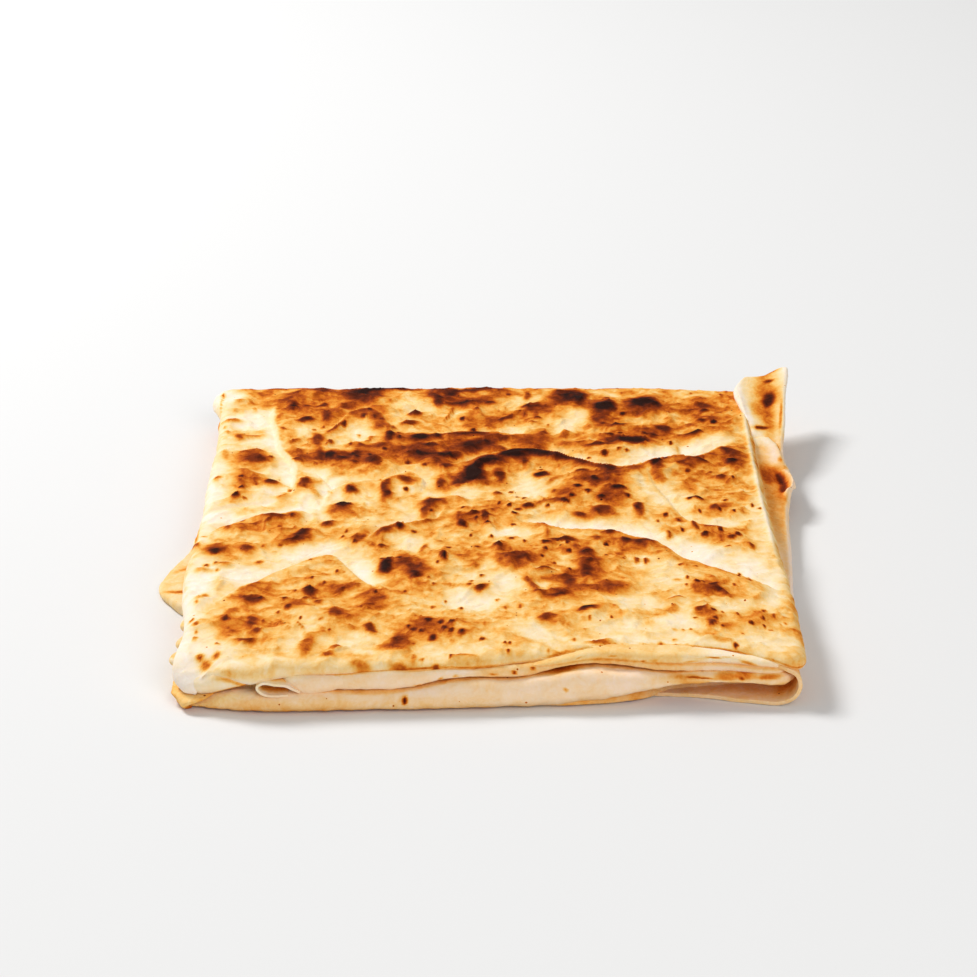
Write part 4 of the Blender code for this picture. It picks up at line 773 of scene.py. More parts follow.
def crumpled(points, triangles, amount):
    """The points moved along their normals by `amount` mm times seeded noise, and kept above
    the board."""
    corners = points[triangles]
    across = np.cross(corners[:, 1] - corners[:, 0], corners[:, 2] - corners[:, 0])
    normal = np.stack([np.bincount(triangles.ravel(), np.repeat(across[:, k], 3), len(points))
                       for k in range(3)], -1)
    normal /= np.linalg.norm(normal, axis=1)[:, None] + 1e-12
    x, y, z = points.T
    uneven = rough(x + 0.9 * z, y - 1.1 * z, 5.0, 701) + 0.6 * rough(x - z, y + z, 1.8, 705)
    points = points + (amount * uneven)[:, None] * normal
    points[:, 2] = np.maximum(points[:, 2], np.minimum(z, 0.05))
    return points


def make_piece(name, points, triangles, brown, crumple=0.2):
    """A mesh from points in millimetres of the plan, with its browning at each point,
    painted shade and highlights included.
    """
    points = crumpled(points, triangles, crumple)
    mesh = bpy.data.meshes.new(name)
    mesh.from_pydata((points - MIDDLE) * MM, [], triangles)
    mesh.attributes.new("browning_and_painted_light", "FLOAT", "POINT").data.foreach_set("value", brown)
    x, y, z = points.T
    steamed = smooth((12.5 - z) / 2.0) * smooth((x + 66 + 3 * (6 - z)) / 6)
    mesh.attributes.new("steamed", "FLOAT", "POINT").data.foreach_set("value", steamed)
    mesh.shade_smooth()
    mesh.materials.append(dough)
    made = bpy.data.objects.new(name, mesh)
    bpy.context.collection.objects.link(made)
    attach(made, "root")
    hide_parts("gozleme")
    print(f"{name}: {len(triangles)} triangles, "
          f"z {points[:, 2].min():.1f} to {points[:, 2].max():.1f} mm")
    return made


def closed_pair(high, low):
    """Points and triangles of a body between two grids (rows, columns, 3) of one border."""
    count = high[..., 0].size
    upper = np.arange(count).reshape(high.shape[:2])
    lower = upper + count
    for edge in (np.s_[0], np.s_[-1], np.s_[:, 0], np.s_[:, -1]):
        lower[edge] = upper[edge]
    triangles = np.concatenate([grid_triangles(upper), grid_triangles(lower)[:, ::-1]])
    points = np.concatenate([high.reshape(-1, 3), low.reshape(-1, 3)])
    used, compact = np.unique(triangles, return_inverse=True)
    return points[used], compact.reshape(-1, 3)


print("triangles of a grid of 3 by 4 points:", len(grid_triangles(np.arange(12).reshape(3, 4))))

# %% The plan of a leaf
def bent_grid(left, right, front, back, step, corner, rim, rows):
    """x, y and the distance from the rim for a grid bent to four edges.  Within `corner`
    of two edges the square grid is bent onto a quarter disc: each point slides towards the
    disc by what the other direction's square root leaves."""
    mid_y = (front(np.zeros(1)) + back(np.zeros(1))) / 2
    mid_x = (left(mid_y) + right(mid_y)) / 2
    span_x = (right(mid_y) - left(mid_y))[0]
    span_y = (back(mid_x) - front(mid_x))[0]
    rim = min(rim, span_x / 2.5, span_y / 2.5)
    u, v = np.meshgrid(fold_lines(span_x, step, rim, rows) / span_x,
                       fold_lines(span_y, step, rim, rows) / span_y)
    y = front(mid_x) + span_y * v
    x = left(y) + (right(y) - left(y)) * u
    y = front(x) + (back(x) - front(x)) * v
    in_x, in_y = np.minimum(u, 1 - u) * span_x, np.minimum(v, 1 - v) * span_y
    a, b = np.clip(1 - in_x / corner, 0, 1), np.clip(1 - in_y / corner, 0, 1)
    pull_x = corner * a * (1 - np.sqrt(1 - b * b / 2))
    pull_y = corner * b * (1 - np.sqrt(1 - a * a / 2))
    x, y = x + np.where(u < 0.5, pull_x, -pull_x), y + np.where(v < 0.5, pull_y, -pull_y)
    inwards = np.where((a > 0) & (b > 0),
                       corner - np.hypot(corner - in_x - pull_x, corner - in_y - pull_y),
                       np.minimum(in_x, in_y))
    inwards[[0, -1]] = 0
    inwards[:, [0, -1]] = 0
    return x, y, inwards, rim


def quarter(inwards, rim):
    """How far a quarter circle of radius `rim` has risen, from 0 at the edge to 1."""
    return np.sqrt(1 - (1 - np.clip(inwards / rim, 0, 1)) ** 2)


def leaf(name, left, right, front, back, floor, top, brown, step=1.5, corner=6.0, rim=RIM,
         seam=0.5, rows=6, both=False, tuck=level(1.0), crumple=0.2):
    """A leaf of dough between `floor` and `top`, whose rim closes `seam` of the way up.
    The upper face is middle + (top - middle) times the quarter circle.  Under the rim, each
    row lies inwards by `tuck` of rim (1 - cos a) and down by the sine of a."""
    x, y, inwards, rim = bent_grid(left, right, front, back, step, corner, rim, rows)
    low, high = floor(x, y), top(x, y)
    middle = low + (high - low) * seam
    rise = quarter(inwards, rim)
    upper = np.stack([x, y, middle + (high - middle) * rise], -1)
    if both:
        points, triangles = closed_pair(upper, np.stack([x, y, middle + (low - middle) * rise], -1))
        return make_piece(name, points, triangles, brown(*points.T), crumple)
    index = np.arange(x.size).reshape(x.shape)
    ring = border(index)
    edge = upper.reshape(-1, 3)[ring]
    along = np.roll(edge, -2, 0) - np.roll(edge, 2, 0)
    inward = np.stack([-along[:, 1], along[:, 0]], -1)
    inward /= np.linalg.norm(inward, axis=1)[:, None]
    points, triangles, last = [upper.reshape(-1, 3)], [grid_triangles(index)], ring
    drop = edge[:, 2] - floor(edge[:, 0], edge[:, 1])
    inward = inward * rim * tuck(edge[:, 0], edge[:, 1])[:, None]
    for k, angle in enumerate(np.linspace(0, math.pi / 2, rows + 1)[1:]):
        row = edge.copy()
        row[:, :2] += inward * (1 - math.cos(angle))
        row[:, 2] -= drop * math.sin(angle)
        number = x.size + k * len(ring) + np.arange(len(ring))
        ahead, last_ahead = np.roll(number, -1), np.roll(last, -1)
        triangles += [np.stack([number, ahead, last_ahead], -1),
                      np.stack([number, last_ahead, last], -1)]
        points.append(row)
        last = number
    points.append(row.mean(0)[None])
    centre = np.full(len(ring), x.size + rows * len(ring))
    triangles.append(np.stack([centre, np.roll(last, -1), last], -1))
    points, triangles = np.concatenate(points), np.concatenate(triangles)
    return make_piece(name, points, triangles, brown(*points.T), crumple)


print("grid lines of a 20 mm leaf:", len(fold_lines(20.0, 1.5, RIM, 6)))

# %% [markdown]
# ## The top sheet
# The browned top is one sheet that rounds over every edge of the parcel.  Its height is
# a sum: the level of the packet, the creases, a blister under every scorch, a few
# hundred small seeded blisters, and the slight waves of rolled dough.  Sculpting would give
# the same, but a sum can be read and tuned term by term.

# %% Relief of the top
def small_blisters(count, seed):
    """Rows (x, y, length, width, height, turn) of seeded blisters, more of them at the back."""
    rng = np.random.default_rng(seed)
    rows = []
    for _ in range(count):
        size = rng.uniform(1.0, 3.2)
        x = rng.uniform(-0.96, 0.96) * HALF_W
        y = (1 - 1.95 * rng.uniform(0, 1) ** 1.15) * HALF_D * 0.97
        length, turn = size * rng.uniform(1.0, 1.7), rng.uniform(0, 180)
        rows.append((x, y, length, size, size * rng.uniform(0.09, 0.2), turn))
    return rows


BLISTERS = small_blisters(420, 11)


def right_rim(x, y):
    """A thin rolled rim along the right edge, from 0 to 1."""
    return bump((x - RIGHT_EDGE(y) + 2.2) / 0.8) * smooth((y + 40) / 30)


def top_relief(x, y):
    """Creases, blisters under the scorches and between them, wrinkles and waves, in mm."""
    wx, wy = warped(x, y, 0.8, 6.0, 101, noise)
    fx, fy = warped(x, y, 3.0, 8.0, 111)
    fine = 1.6 * ellipses(wx, wy, BLISTERS, 0.6) + 0.4 * ellipses(x, y, SPOTS_RAISED, 0.5)
    fine = fine + 0.7 * (1 - np.abs(noise(fx, 1.4 * fy, 9.0, 221))) ** 10 + 0.5 * wrinkles(x, y)
    fine = fine + 0.2 * rough(x, 0.7 * y, 3.4, 211)
    drawn = np.max([crease.edge(x, y) for crease in CREASES], axis=0)
    rise = sum(crease.height(x, y) for crease in CREASES) + fine * (1 - 0.8 * drawn)
    rise = rise + 1.25 * ellipses(wx, wy, SCORCHES, 0.4)
    rise = rise - 0.5 * np.minimum(ellipses(wx, wy, PALE, 0.3), 1)
    rise = rise + 0.35 * np.sin(x / 11.0 + 1.3 * np.sin(y / 17.0)) * np.cos(y / 13.0 + 0.4)
    rise = rise + 0.35 * rough(x, y, 12.0, 217)
    return rise * (1 - 0.45 * smooth((y - 88) / 12)) + 0.8 * right_rim(x, y)


def top_floor(x, y):
    """The parting under the top sheet: the front curve, then level behind it, and 6.4 mm
    lower round the front left corner, where the sheet hangs down."""
    at_front = smooth((-HALF_D + 30 - y) / 20)
    hang = 6.4 * (1 - smooth((y + 101) / 9)) * smooth((-77.4 - x) / 2.6)
    return blend(TOP_BEHIND, TOP_SEAM(x), at_front) - hang


def corner_drop(x, y):
    """How far the dough slopes down towards the front left corner, 4.5 mm at most."""
    return 4.5 * (1 - smooth((y + 103) / 11)) * smooth((-70 - x) / 10)


def top_height(x, y):
    """The top's own level, a little lower at the open front, with the relief on it."""
    return TOP_LEVEL - 0.6 * smooth((-70 - y) / 30) - corner_drop(x, y) + top_relief(x, y)


def top_brown(x, y, z):
    """Browning in plan, with pale sides, and a dark line of painted shade low on the
    front rim, where it closes on the fold below.
    """
    # painted shade: a dark line at the foot of the front rim, over the seam with the fold below
    under = bump((z - top_floor(x, y) - 1.25) / 0.42) * smooth((-85 - y) / 2)
    line = 0.52 * under * smooth((x + 45) / 30) * (1.0 + 0.5 * noise(x, 0 * z, 5.0, 301))
    shown = top_browning(x, y) * (1 - 0.75 * right_rim(x, y))
    sides = smooth((11.6 - z) / 3.0)
    return np.maximum(shown * (1 - 0.75 * sides), line)


def frayed(curve, amount, seed):
    """The same edge, uneven by `amount` in waves of 7 mm and shorter."""
    return lambda s: curve(s) + amount * rough(s, 0 * s, 7.0, seed)


def top_tuck(x, y):
    """Rolled under all round, less at the front, and hanging straight at its left corner."""
    return 1 - 0.6 * smooth((-88 - y) / 4) - 0.3 * smooth((-74 - x) / 6) * smooth((-66 - y) / 14)


TOP_LEFT = frayed(LEFT_EDGE, 0.5, 401)
leaf("top_sheet", TOP_LEFT, frayed(RIGHT_EDGE, 0.4, 405), frayed(TOP_FRONT, 0.25, 409),
     frayed(BACK_EDGE, 0.6, 413), top_floor, top_height, top_brown, step=0.68, corner=4.6,
     seam=0.35, rows=8, tuck=top_tuck, crumple=0.08)

# %% [markdown]
# ## The folds under the top
# Below the top sheet the front shows the packet's other leaves: a thin middle fold, a fat
# bottom fold that swells into a drooping lip, and the base.  They are the same cushion with
# other edges.  Each runs back under the next, so that the dark slits between them are
# real gaps, and painted shade darkens the leaves along them as well.

# %% Browning of the edges
def field(low, high, size, seed):
    """A browning between `low` and `high` that drifts in patches of `size` millimetres."""
    return lambda x, y, z: (
        low + (high - low) * np.clip(0.5 + 0.5 * rough(x + z, y - z, size, seed), 0, 1))


# marks on the middle and the thin fold, by x and z
MIDDLE_MARKS = [
    (62.5, 12.9, 3.4, 0.12, 0.66), (35, 12.9, 1.4, 0.12, 0.6), (46, 12.4, 1.5, 0.3, 0.45),
    (72.5, 11.6, 2.2, 0.4, 0.5, -14), (56, 12.0, 2.5, 0.3, 0.42, 4), (43.5, 12.2, 0.5, 0.3, 0.75),
    (1.9, 9.9, 0.7, 0.25, 0.6), (7.4, 10.1, 0.45, 0.4, 1.0), (12.6, 10.9, 0.4, 0.35, 0.85),
    (-8.3, 9.8, 0.45, 0.35, 0.6), (-12.6, 9.0, 0.35, 0.4, 0.55), (-19.0, 7.2, 0.7, 0.3, 0.6),
]


def middle_brown(x, y, z):
    """Cream with fine dots, with painted shade where it passes under the top sheet's front
    edge and along the line where it parts in two.
    """
    dots = smooth((rough(x, 2 * z, 1.6, 503) - 0.62) / 0.2)
    # painted shade: a thin dark line where the fold parts in two
    split_shade = 0.16 * bump((z - middle_split(x)) / 0.35) * smooth((x - 10) / 20)
    blotch = ellipses(x, z, MIDDLE_MARKS, 0.5)
    golden = 0.13 * smooth((x + 6) / 8) * smooth((64 - x) / 15)
    # painted shade under the top sheet's front edge, left of x = 18
    under = 0.45 * smooth((y - TOP_FRONT(x) + 0.5) / 0.8) * smooth((18 - x) / 8)
    return np.maximum(0.12 + golden + 0.07 * rough(x, y + 2 * z, 7.0, 501)
                      + 0.3 * dots * smooth((x + 30) / 30) + split_shade + under, blotch)


# marks on the bottom fold, by x and z: three dark specks, then those of its drooping lip
BOTTOM_MARKS = [
    (-22.5, 3.9, 0.7, 0.9, 1.1), (-28, 9.5, 0.4, 0.4, 0.8), (22, 6.0, 0.4, 0.5, 0.6),
    (59.0, 8.35, 4.0, 0.16, 0.78, -3), (55.0, 8.5, 5.0, 0.6, 0.4), (66.0, 8.5, 3.2, 0.75, 0.52),
    (71.0, 8.8, 3.0, 0.9, 0.6), (70.5, 8.1, 0.6, 0.3, 0.8), (78.0, 8.4, 3.6, 0.5, 0.55),
    (84.0, 8.6, 1.4, 0.2, 0.7, -20),
]


def bottom_brown(x, y, z):
    """Pale beige, golden along its lower edge, with toasted marks and three dark specks,
    painted shade under the middle fold's front edge, deepest near x = 21, and painted
    shade that darkens and warms its lower half on the left.
    """
    low = np.exp(-np.clip(z - BOTTOM_FLOOR(x), 0, 9) / 0.9)
    lip = np.clip(1 - ((x - 64) / 22) ** 2, 0, 1) * smooth((-90 - y) / 4)
    streaks = smooth(0.5 + 0.9 * rough(x, 5 * z, 8.0, 511))
    speck = ellipses(x, z, BOTTOM_MARKS, 0.7)
    # painted shade: under the middle fold's front edge, deepest and widest at the dark opening near
    # x = 21
    shade = bump((x - 21) / 5)
    deep = 0.6 + 2.6 * shade
    under = (0.2 + 0.3 * shade) * smooth((y - MIDDLE_FRONT(x) + deep) / (0.4 + deep))
    return np.maximum(0.11 + 0.07 * rough(x, z, 9.0, 509) + 0.28 * low * (0.5 + 0.7 * streaks)
                      # painted shade: darker and warmer low down on the left part of the fold
                      + 0.1 * smooth((6.5 - z) / 4) * smooth((10 - x) / 20)
                      + 0.04 * smooth((-40 - x) / 40) + 0.16 * lip * streaks + under,
                      speck * (y < -88))


def base_brown(x, y, z):
    """Darker at its front rim, painted shade where the bottom fold lifts off it, pale in the
    pocket, and scorched below in seeded patches.
    """
    patches = smooth((rough(x, 1.5 * y, 11.0, 521) - 0.1) / 0.5) * (z < 0.6)
    spots = smooth((rough(x, 1.3 * y, 3.6, 523) - 0.3) / 0.4) * patches
    pocket = smooth((x - 42) / 8) * smooth((-76 - y) / 4)
    # painted shade: the front rim between x = 8 and the pocket, under the lifted bottom fold
    rim = smooth((x - 8) / 14) * smooth((-84 - y) / 4) * (1 - pocket)
    return (0.24 - 0.02 * pocket + 0.1 * rough(x, y, 14.0, 519) + 0.22 * patches + 0.55 * spots
            + 0.1 * rim * (1 + 0.4 * rough(x, z, 3.0, 525)))


def level_at(values):
    """A surface height that follows one curve of x."""
    return lambda x, y: values(x) + 0 * y


print(len(MIDDLE_MARKS), "marks on the middle fold and", len(BOTTOM_MARKS), "on the bottom one")

# %% Middle, bottom and base
def middle_floor(x, y):
    """The slit's height in front, and level behind it."""
    return blend(SLIT(x), MIDDLE_BEHIND, smooth((y + 88) / 12))


def middle_split(x):
    """How high the middle fold parts in two on the right, which closes to the left."""
    return SLIT(x) + (0.5 + 0.6 * smooth((24 - x) / 14)) * (TOP_SEAM(x) + 0.3 - SLIT(x))


def behind_front(height):
    """`height` at the front, and level further back, clear of the creases of the top."""
    return lambda x, y: (blend(height(x), THIN_BEHIND, smooth((y + 88) / 6))
                         + 0.1 * rough(x, y, 8.0, 533))


def bottom_height(x, y):
    """The bottom fold's own curve in front, level behind it, and uneven all over."""
    return (blend(BOTTOM_TOP(x), BOTTOM_BEHIND, smooth((y + 90) / 12))
            + 0.12 * rough(x, y, 7.0, 539))


leaf("middle_fold", level(-HALF_W + 1.5), moved(RIGHT_EDGE, -1.5),
     frayed(MIDDLE_FRONT, 0.2, 531), moved(BACK_EDGE, -2.5), middle_floor,
     behind_front(lambda x: middle_split(x) + 0.5), middle_brown, step=1.0, rows=7, rim=2.6,
     seam=0.3, tuck=level(0.5), crumple=0.3)
leaf("thin_fold", level(10.0), moved(RIGHT_EDGE, -1.0), frayed(moved(MIDDLE_FRONT, 0.4), 0.4, 535),
     level(-60.0), lambda x, y: np.minimum(middle_split(x), 10.9) - 1.9 * smooth((y + 90) / 8),
     behind_front(lambda x: TOP_SEAM(x) + 0.9), middle_brown, step=1.0, rows=6, rim=1.6)
leaf("bottom_fold", moved(LEFT_EDGE, 1.5), level(HALF_W - 1.0),
     frayed(BOTTOM_FRONT, 0.25, 537), moved(BACK_EDGE, -1.0), level_at(BOTTOM_FLOOR),
     bottom_height, bottom_brown,
     step=1.1, corner=3.5, rows=9, seam=0.4, crumple=0.34)
leaf("base", level(-HALF_W + 1.0), level(HALF_W - 1.0),
     frayed(BASE_FRONT, 0.3, 541), moved(BACK_EDGE, -3.0), level(0.0),
     level(5.8), base_brown, step=1.6, rim=7.0, rows=9, seam=0.15, both=True)
# the core fills the parcel under the grooves between its leaves; browned darker than the folds
# round it, it is painted shade where it shows in those grooves
leaf("core", moved(LEFT_EDGE, GROOVE), moved(RIGHT_EDGE, -GROOVE),
     moved(TOP_FRONT, GROOVE + 1.5), moved(BACK_EDGE, -GROOVE - 2), level(1.0),
     level(10.0), field(0.22, 0.38, 9.0, 547), step=4.0)

# %% [markdown]
# ## The front left corner
# Here the folds open: a pale wall drops from the top sheet, a corner of dough is tucked
# under it, and the end of a sheet curls out like a tongue.

# %% The left corner
WALL_FLOOR = spline((-88, 3.6), (-80, 4.0), (-74, 4.9), (-68, 6.9), (-62, 8.4))


def wall_brown(x, y, z):
    """Nearly raw, with dark lines of painted shade where it closes on the fold below and
    where it meets the top sheet.
    """
    # painted shade in the slit where the wall closes on the fold below
    line = bump((z - WALL_FLOOR(x) - 0.3) / 0.5) * smooth((x + 77) / 6)
    # painted shade along the crease where the wall meets the top sheet
    crease = bump((z - TOP_SEAM(x) + 0.1) / 0.6) * smooth((x + 78) / 8)
    return 0.09 + 0.05 * rough(x, y + z, 5.0, 551) + 0.6 * line + 0.4 * crease


leaf("corner_wall", moved(TOP_LEFT, 0.3), level(-60.0),
     spline((-87, -99.2), (-82, -100.7), (-80.5, -101.4), (-79, -102.1), (-77.3, -102.4),
            (-72, -102.7), (-65, -102.8), (-60, -101.5)), level(-60.0), level_at(WALL_FLOOR),
     lambda x, y: np.minimum(TOP_SEAM(x) + 1.2, top_height(x, y) - 0.3), wall_brown,
     step=0.9, corner=4.6, seam=0.55, rim=3.0, crumple=0.08)
TUCK_FLOOR = spline((-87, 2.4), (-84.2, 0.15), (-82, 1.6), (-77.3, 3.6), (-73, 4.8))


def tuck_brown(x, y, z):
    """Golden, with a darker lower edge: toasted, and painted shade where it closes on the fold
    below.
    """
    # the darker lower edge: partly toasted, partly painted shade in the slit below it
    low = np.exp(-np.clip(z - TUCK_FLOOR(x), 0, 9) / 0.5)
    return 0.3 + 0.07 * rough(x, z, 4.0, 553) + 0.3 * low


leaf("corner_tuck", level(-87.0), level(-73.0),
     spline((-87, -100.4), (-84, -103.2), (-78, -103.4), (-73, -101.0)), level(-86.0),
     level_at(TUCK_FLOOR),
     level_at(lambda x: WALL_FLOOR(x) + 0.2), tuck_brown, step=0.9, corner=4.0)
leaf("inner_dough", level(-58.0), level(-31.0),
     spline((-58, -100.0), (-54, -102.4), (-49, -103.2), (-44, -102.8), (-38, -101.6),
            (-31, -100.0)), level(-90.0),
     level_at(spline((-58, 6.6), (-54.5, 6.4), (-51, 5.1), (-47.5, 4.8), (-43, 5.6),
                     (-38, 6.4), (-31, 6.8))),
     level(10.6), field(0.08, 0.18, 4.0, 557), step=0.8, corner=3.5, rim=2.4)

# %% [markdown]
# ## Rolled ends
# Two ends of dough show their thickness: at the front right the bottom sheet wraps round
# like a C, and at the front left the end of a leaf curls into a small flat roll.  Each is
# a curve through a few points swept along the depth of the parcel, given the thickness of the
# dough by Solidify and a soft edge by Bevel, as a baker's sheet has.

# %% Rolls
def roll(name, path, back, taper, thick, brown):
    """A band of dough whose front edge runs through `path`, points of (x, z, y).  Going back
    to y = `back` the band shrinks towards the middle of its hollow by `taper`."""
    x0, z0, y0 = np.array(path, float).T
    along = np.concatenate([[0], np.cumsum(np.hypot(np.diff(x0), np.diff(z0)))])
    u, v = np.meshgrid(np.linspace(0, along[-1], 81), np.linspace(0, 1, 33), indexing="ij")
    x, z, front = (spline(*zip(along, value))(u) for value in (x0, z0, y0))
    middle = (x0.max() - (z0.max() - z0.min()) * 0.7, (z0.max() + z0.min()) / 2)
    x = x + (middle[0] - x) * taper * v * (x > middle[0])
    z = z + (middle[1] - z) * 0.5 * taper * v
    y = front + (back - front) * v
    index = np.arange(u.size).reshape(u.shape)
    made = make_piece(name, np.stack([x, y, z], -1).reshape(-1, 3), grid_triangles(index),
                      brown(x, y, z, u / along[-1]).ravel())
    solid = made.modifiers.new("thickness", "SOLIDIFY")
    solid.thickness, solid.offset = thick * MM, 1.0
    edge = made.modifiers.new("soft edge", "BEVEL")
    edge.width, edge.segments, edge.limit_method = 0.4 * MM, 3, "ANGLE"
    return made


def wrap_brown(x, y, z, u):
    """Golden at its front edge and round its end, and pale with dots back in the hollow."""
    dots = smooth((rough(x, 2 * z, 2.0, 565) - 0.5) / 0.3)
    inside = smooth((y + 96) / 4)
    return (0.2 + 0.1 * rough(y, 9 * u, 6.0, 561) - 0.02 * inside * smooth((80 - x) / 8)
            + 0.18 * inside * smooth((x - 78) / 5) + 0.35 * dots * inside)


roll("right_wrap", [(42, 1.5, -92.0), (49.5, 1.3, -91.8), (59, 1.3, -92.5), (70, 1.3, -95.0),
                    (77, 1.3, -96.4), (81, 1.5, -97.0), (84, 2.6, -97.2), (85.7, 4.9, -97.2),
                    (86.0, 7.2, -97.0), (85.0, 9.0, -96.4), (82.5, 9.8, -95.0), (76, 9.9, -91.5)],
     -56.0, 0.35, 0.5 * SHEET, wrap_brown)
roll("curled_end", [(-51.4, 6.0, -103.3), (-53.0, 7.0, -103.8), (-55.0, 8.2, -104.1),
                    (-58.6, 8.7, -104.2), (-61.6, 8.8, -104.1), (-62.6, 8.1, -104.1),
                    (-61.8, 6.8, -104.3), (-60.0, 6.1, -104.3), (-57.0, 6.0, -104.2),
                    (-54.4, 6.2, -103.9)],
     -94.0, 0.1, 0.3 * SHEET,
     # browner back from its front edge: painted shade inside the curl's hollow
     lambda x, y, z, u: (0.1 + 0.3 * smooth((y + 103.6) / 3) * (u > 0.2)
                         + 0.04 * rough(x, y, 3.0, 563)))

# %% [markdown]
# ## The right side and the raised corner
# Behind the wrap a strip of dough stands off the side and climbs to the raised corner at
# the back.  Its two long edges are curves, and its lift is one more.

# %% The side strip and the raised corner
STRIP_INNER = spline((-50, HALF_W - 9), (20, HALF_W - 9), (60, HALF_W - 3.5),
                     (72, HALF_W - 3.2), (80, HALF_W - 4.6), (88, HALF_W - 6.2),
                     (98, HALF_W - 7.4), (108, HALF_W - 4.5))
STRIP_OUTER = spline((-50, HALF_W + 1.2), (-42, HALF_W + 2.0), (0, HALF_W + 4.8),
                     (24, HALF_W + 6.2), (30, HALF_W + 7.2), (36, HALF_W + 9.2),
                     (47, HALF_W + 8.2), (60, HALF_W + 6.9), (68, HALF_W + 7.9),
                     (84, HALF_W + STRIP_REACH - 2.0), (104, HALF_W + STRIP_REACH),
                     (110, HALF_W + STRIP_REACH - 0.4))
STRIP_RIDGE = spline((-40, HALF_W + 0.6), (-20, HALF_W - 0.3), (10, HALF_W - 1.8),
                     (40, HALF_W - 2.4), (66, HALF_W - 3.8), (90, HALF_W - 5.4))
STRIP_LIFT = spline((-50, 8.2), (30, 9.0), (55, 10.5), (78, 14.5), (95, 17.4),
                    (108, EAR_HEIGHT))
STRIP_TAIL = spline((HALF_W - 8, HALF_D - 4.5), (HALF_W - 3, HALF_D + 0.8),
                    (HALF_W + 2, HALF_D + 2.6), (HALF_W + 11, HALF_D + 8))
STRIP_FOLD = Crease([(94, 48), (93.5, 55), (92.3, 63), (88, 68.3), (81, 64)],
                    0.9, 0.6, 5.0, seed=573)


def edge_curl(x, y):
    """A small curled rim half way along the strip's outer edge, from 0 to 1."""
    ring = np.hypot((x - 91.5) / 3.6, (y - 39) / 7.5)
    return bump((ring - 1) / 0.22) * smooth((x - 91) / 2)


def across_strip(x, y):
    """0 on the strip's inner edge and 1 on its outer edge."""
    return (x - STRIP_INNER(y)) / (STRIP_OUTER(y) - STRIP_INNER(y))


def strip_surface(x, y):
    """The strip's lift, hollow across the raised corner and ridged along the rest, with a
    small curl half way along its outer edge."""
    across = across_strip(x, y)
    rear = smooth((y - 50) / 45)
    ridge = bump((x - STRIP_RIDGE(y)) / 0.9) * (1 - smooth((y - 60) / 40))
    hollow = np.exp(-((x - 91.6) / 1.6) ** 2 - ((y - 41) / 6.0) ** 2)
    return (STRIP_LIFT(y) - 1.8 * across * (1 - rear) + 1.6 * (2 * across - 1) ** 2 * rear
            + 1.3 * ridge + 2.2 * edge_curl(x, y) - 1.0 * hollow
            + STRIP_FOLD.height(x, y) + 0.12 * rough(x, y, 5.0, 571))


EAR_MARKS = [
    (90.8, 88.5, 1.9, 4.6, 1.0, -12), (91.5, 100.0, 1.7, 0.8, 0.9, 20),
    (92.0, 106.5, 2.6, 1.3, 0.72, 10), (89.5, 80.0, 2.4, 5.0, 0.5, 8),
    (86.9, 72.5, 3.0, 0.9, 0.98, 14), (86.5, 84.0, 1.6, 4.0, 0.5), (92.2, 54.8, 0.6, 1.2, 0.95),
    (94.0, 51.6, 0.5, 1.2, 1.0), (91.6, 44.0, 1.2, 3.6, 1.0, 10), (92.0, 37.0, 1.2, 4.4, 0.92, -8),
    (94.3, 80.0, 0.5, 8.0, 0.56, -6), (94.6, 68.0, 0.45, 3.6, 0.85), (91.0, 91.0, 4.5, 6.0, 0.42),
    (88.0, 44.0, 4.0, 7.0, 0.6), (93.4, 20.0, 0.9, 2.4, 0.62), (92.6, 28.0, 0.6, 1.4, 0.6),
]


def strip_brown(x, y, z):
    """Browned in the hollow of the raised corner, pale on its lips, toasted half way, and
    darker in the groove beside its ridge, painted shade.
    """
    across = across_strip(x, y)
    ear = smooth((y - 62) / 12) * bump((across - 0.55) / 0.2)
    half_way = smooth((54 - y) / 6) * smooth((y + 8) / 34)
    # painted shade in the groove just inside the strip's ridge
    valley = bump((x - STRIP_RIDGE(y) + 1.8) / 0.9) * (1 - smooth((y - 60) / 15))
    ridge = bump((x - STRIP_RIDGE(y)) / 0.8) * (1 - smooth((y - 70) / 20))
    lips = np.maximum(smooth((across - 0.86) / 0.08), np.maximum(ridge, edge_curl(x, y)))
    lips = np.maximum(lips, smooth((0.2 - across) / 0.1) * smooth((y - 64) / 10))
    marks = ellipses(x, y, EAR_MARKS, 0.55)
    signed, there = STRIP_FOLD.measure(x, y)
    lips = np.maximum(lips, there * bump((signed + 2.2) / 2.0))
    marks = marks + 0.4 * there * bump((signed - 0.5) / 0.4)
    ground = (0.16 + 0.1 * smooth((y + 30) / 30) - 0.14 * smooth((y - 60) / 10)
              + 0.07 * rough(x, y, 5.0, 575) + 0.34 * ear
              + 0.15 * half_way + 0.18 * valley)
    return np.cbrt(ground ** 3 + marks ** 3) * (1 - 0.72 * lips)


def strip_under(x, y):
    """The strip's lower face: thick along the side, and thin at both ends."""
    thick = SHEET * 1.25 + 3.0 * smooth((40 - y) / 30)
    return strip_surface(x, y) - thick * (0.2 + 0.8 * smooth((y + 50) / 22))


leaf("side_strip", STRIP_INNER, STRIP_OUTER, level(-50.0), STRIP_TAIL, strip_under,
     strip_surface, strip_brown, step=0.6, corner=2.5, rim=1.6, rows=6, both=True)
leaf("strip_stand", level(HALF_W - 12), lambda y: np.minimum(STRIP_OUTER(y), HALF_W + 5) - 2.0,
     level(-48.0), level(97.0), level(1.2),
     lambda x, y: np.minimum(STRIP_LIFT(y) - 1.6, 9.0 + 8.0 * smooth((x - 80) / 4)),
     field(0.12, 0.32, 8.0, 579), step=1.6)

# %% [markdown]
# ## The left side
# On the left a tab of dough lies flat on the board, and small lobes show where the edge of
# the inner sheet was pinched.  They are leaves again, thin ones with both faces.  One loop
# makes the lobes from four short rows.

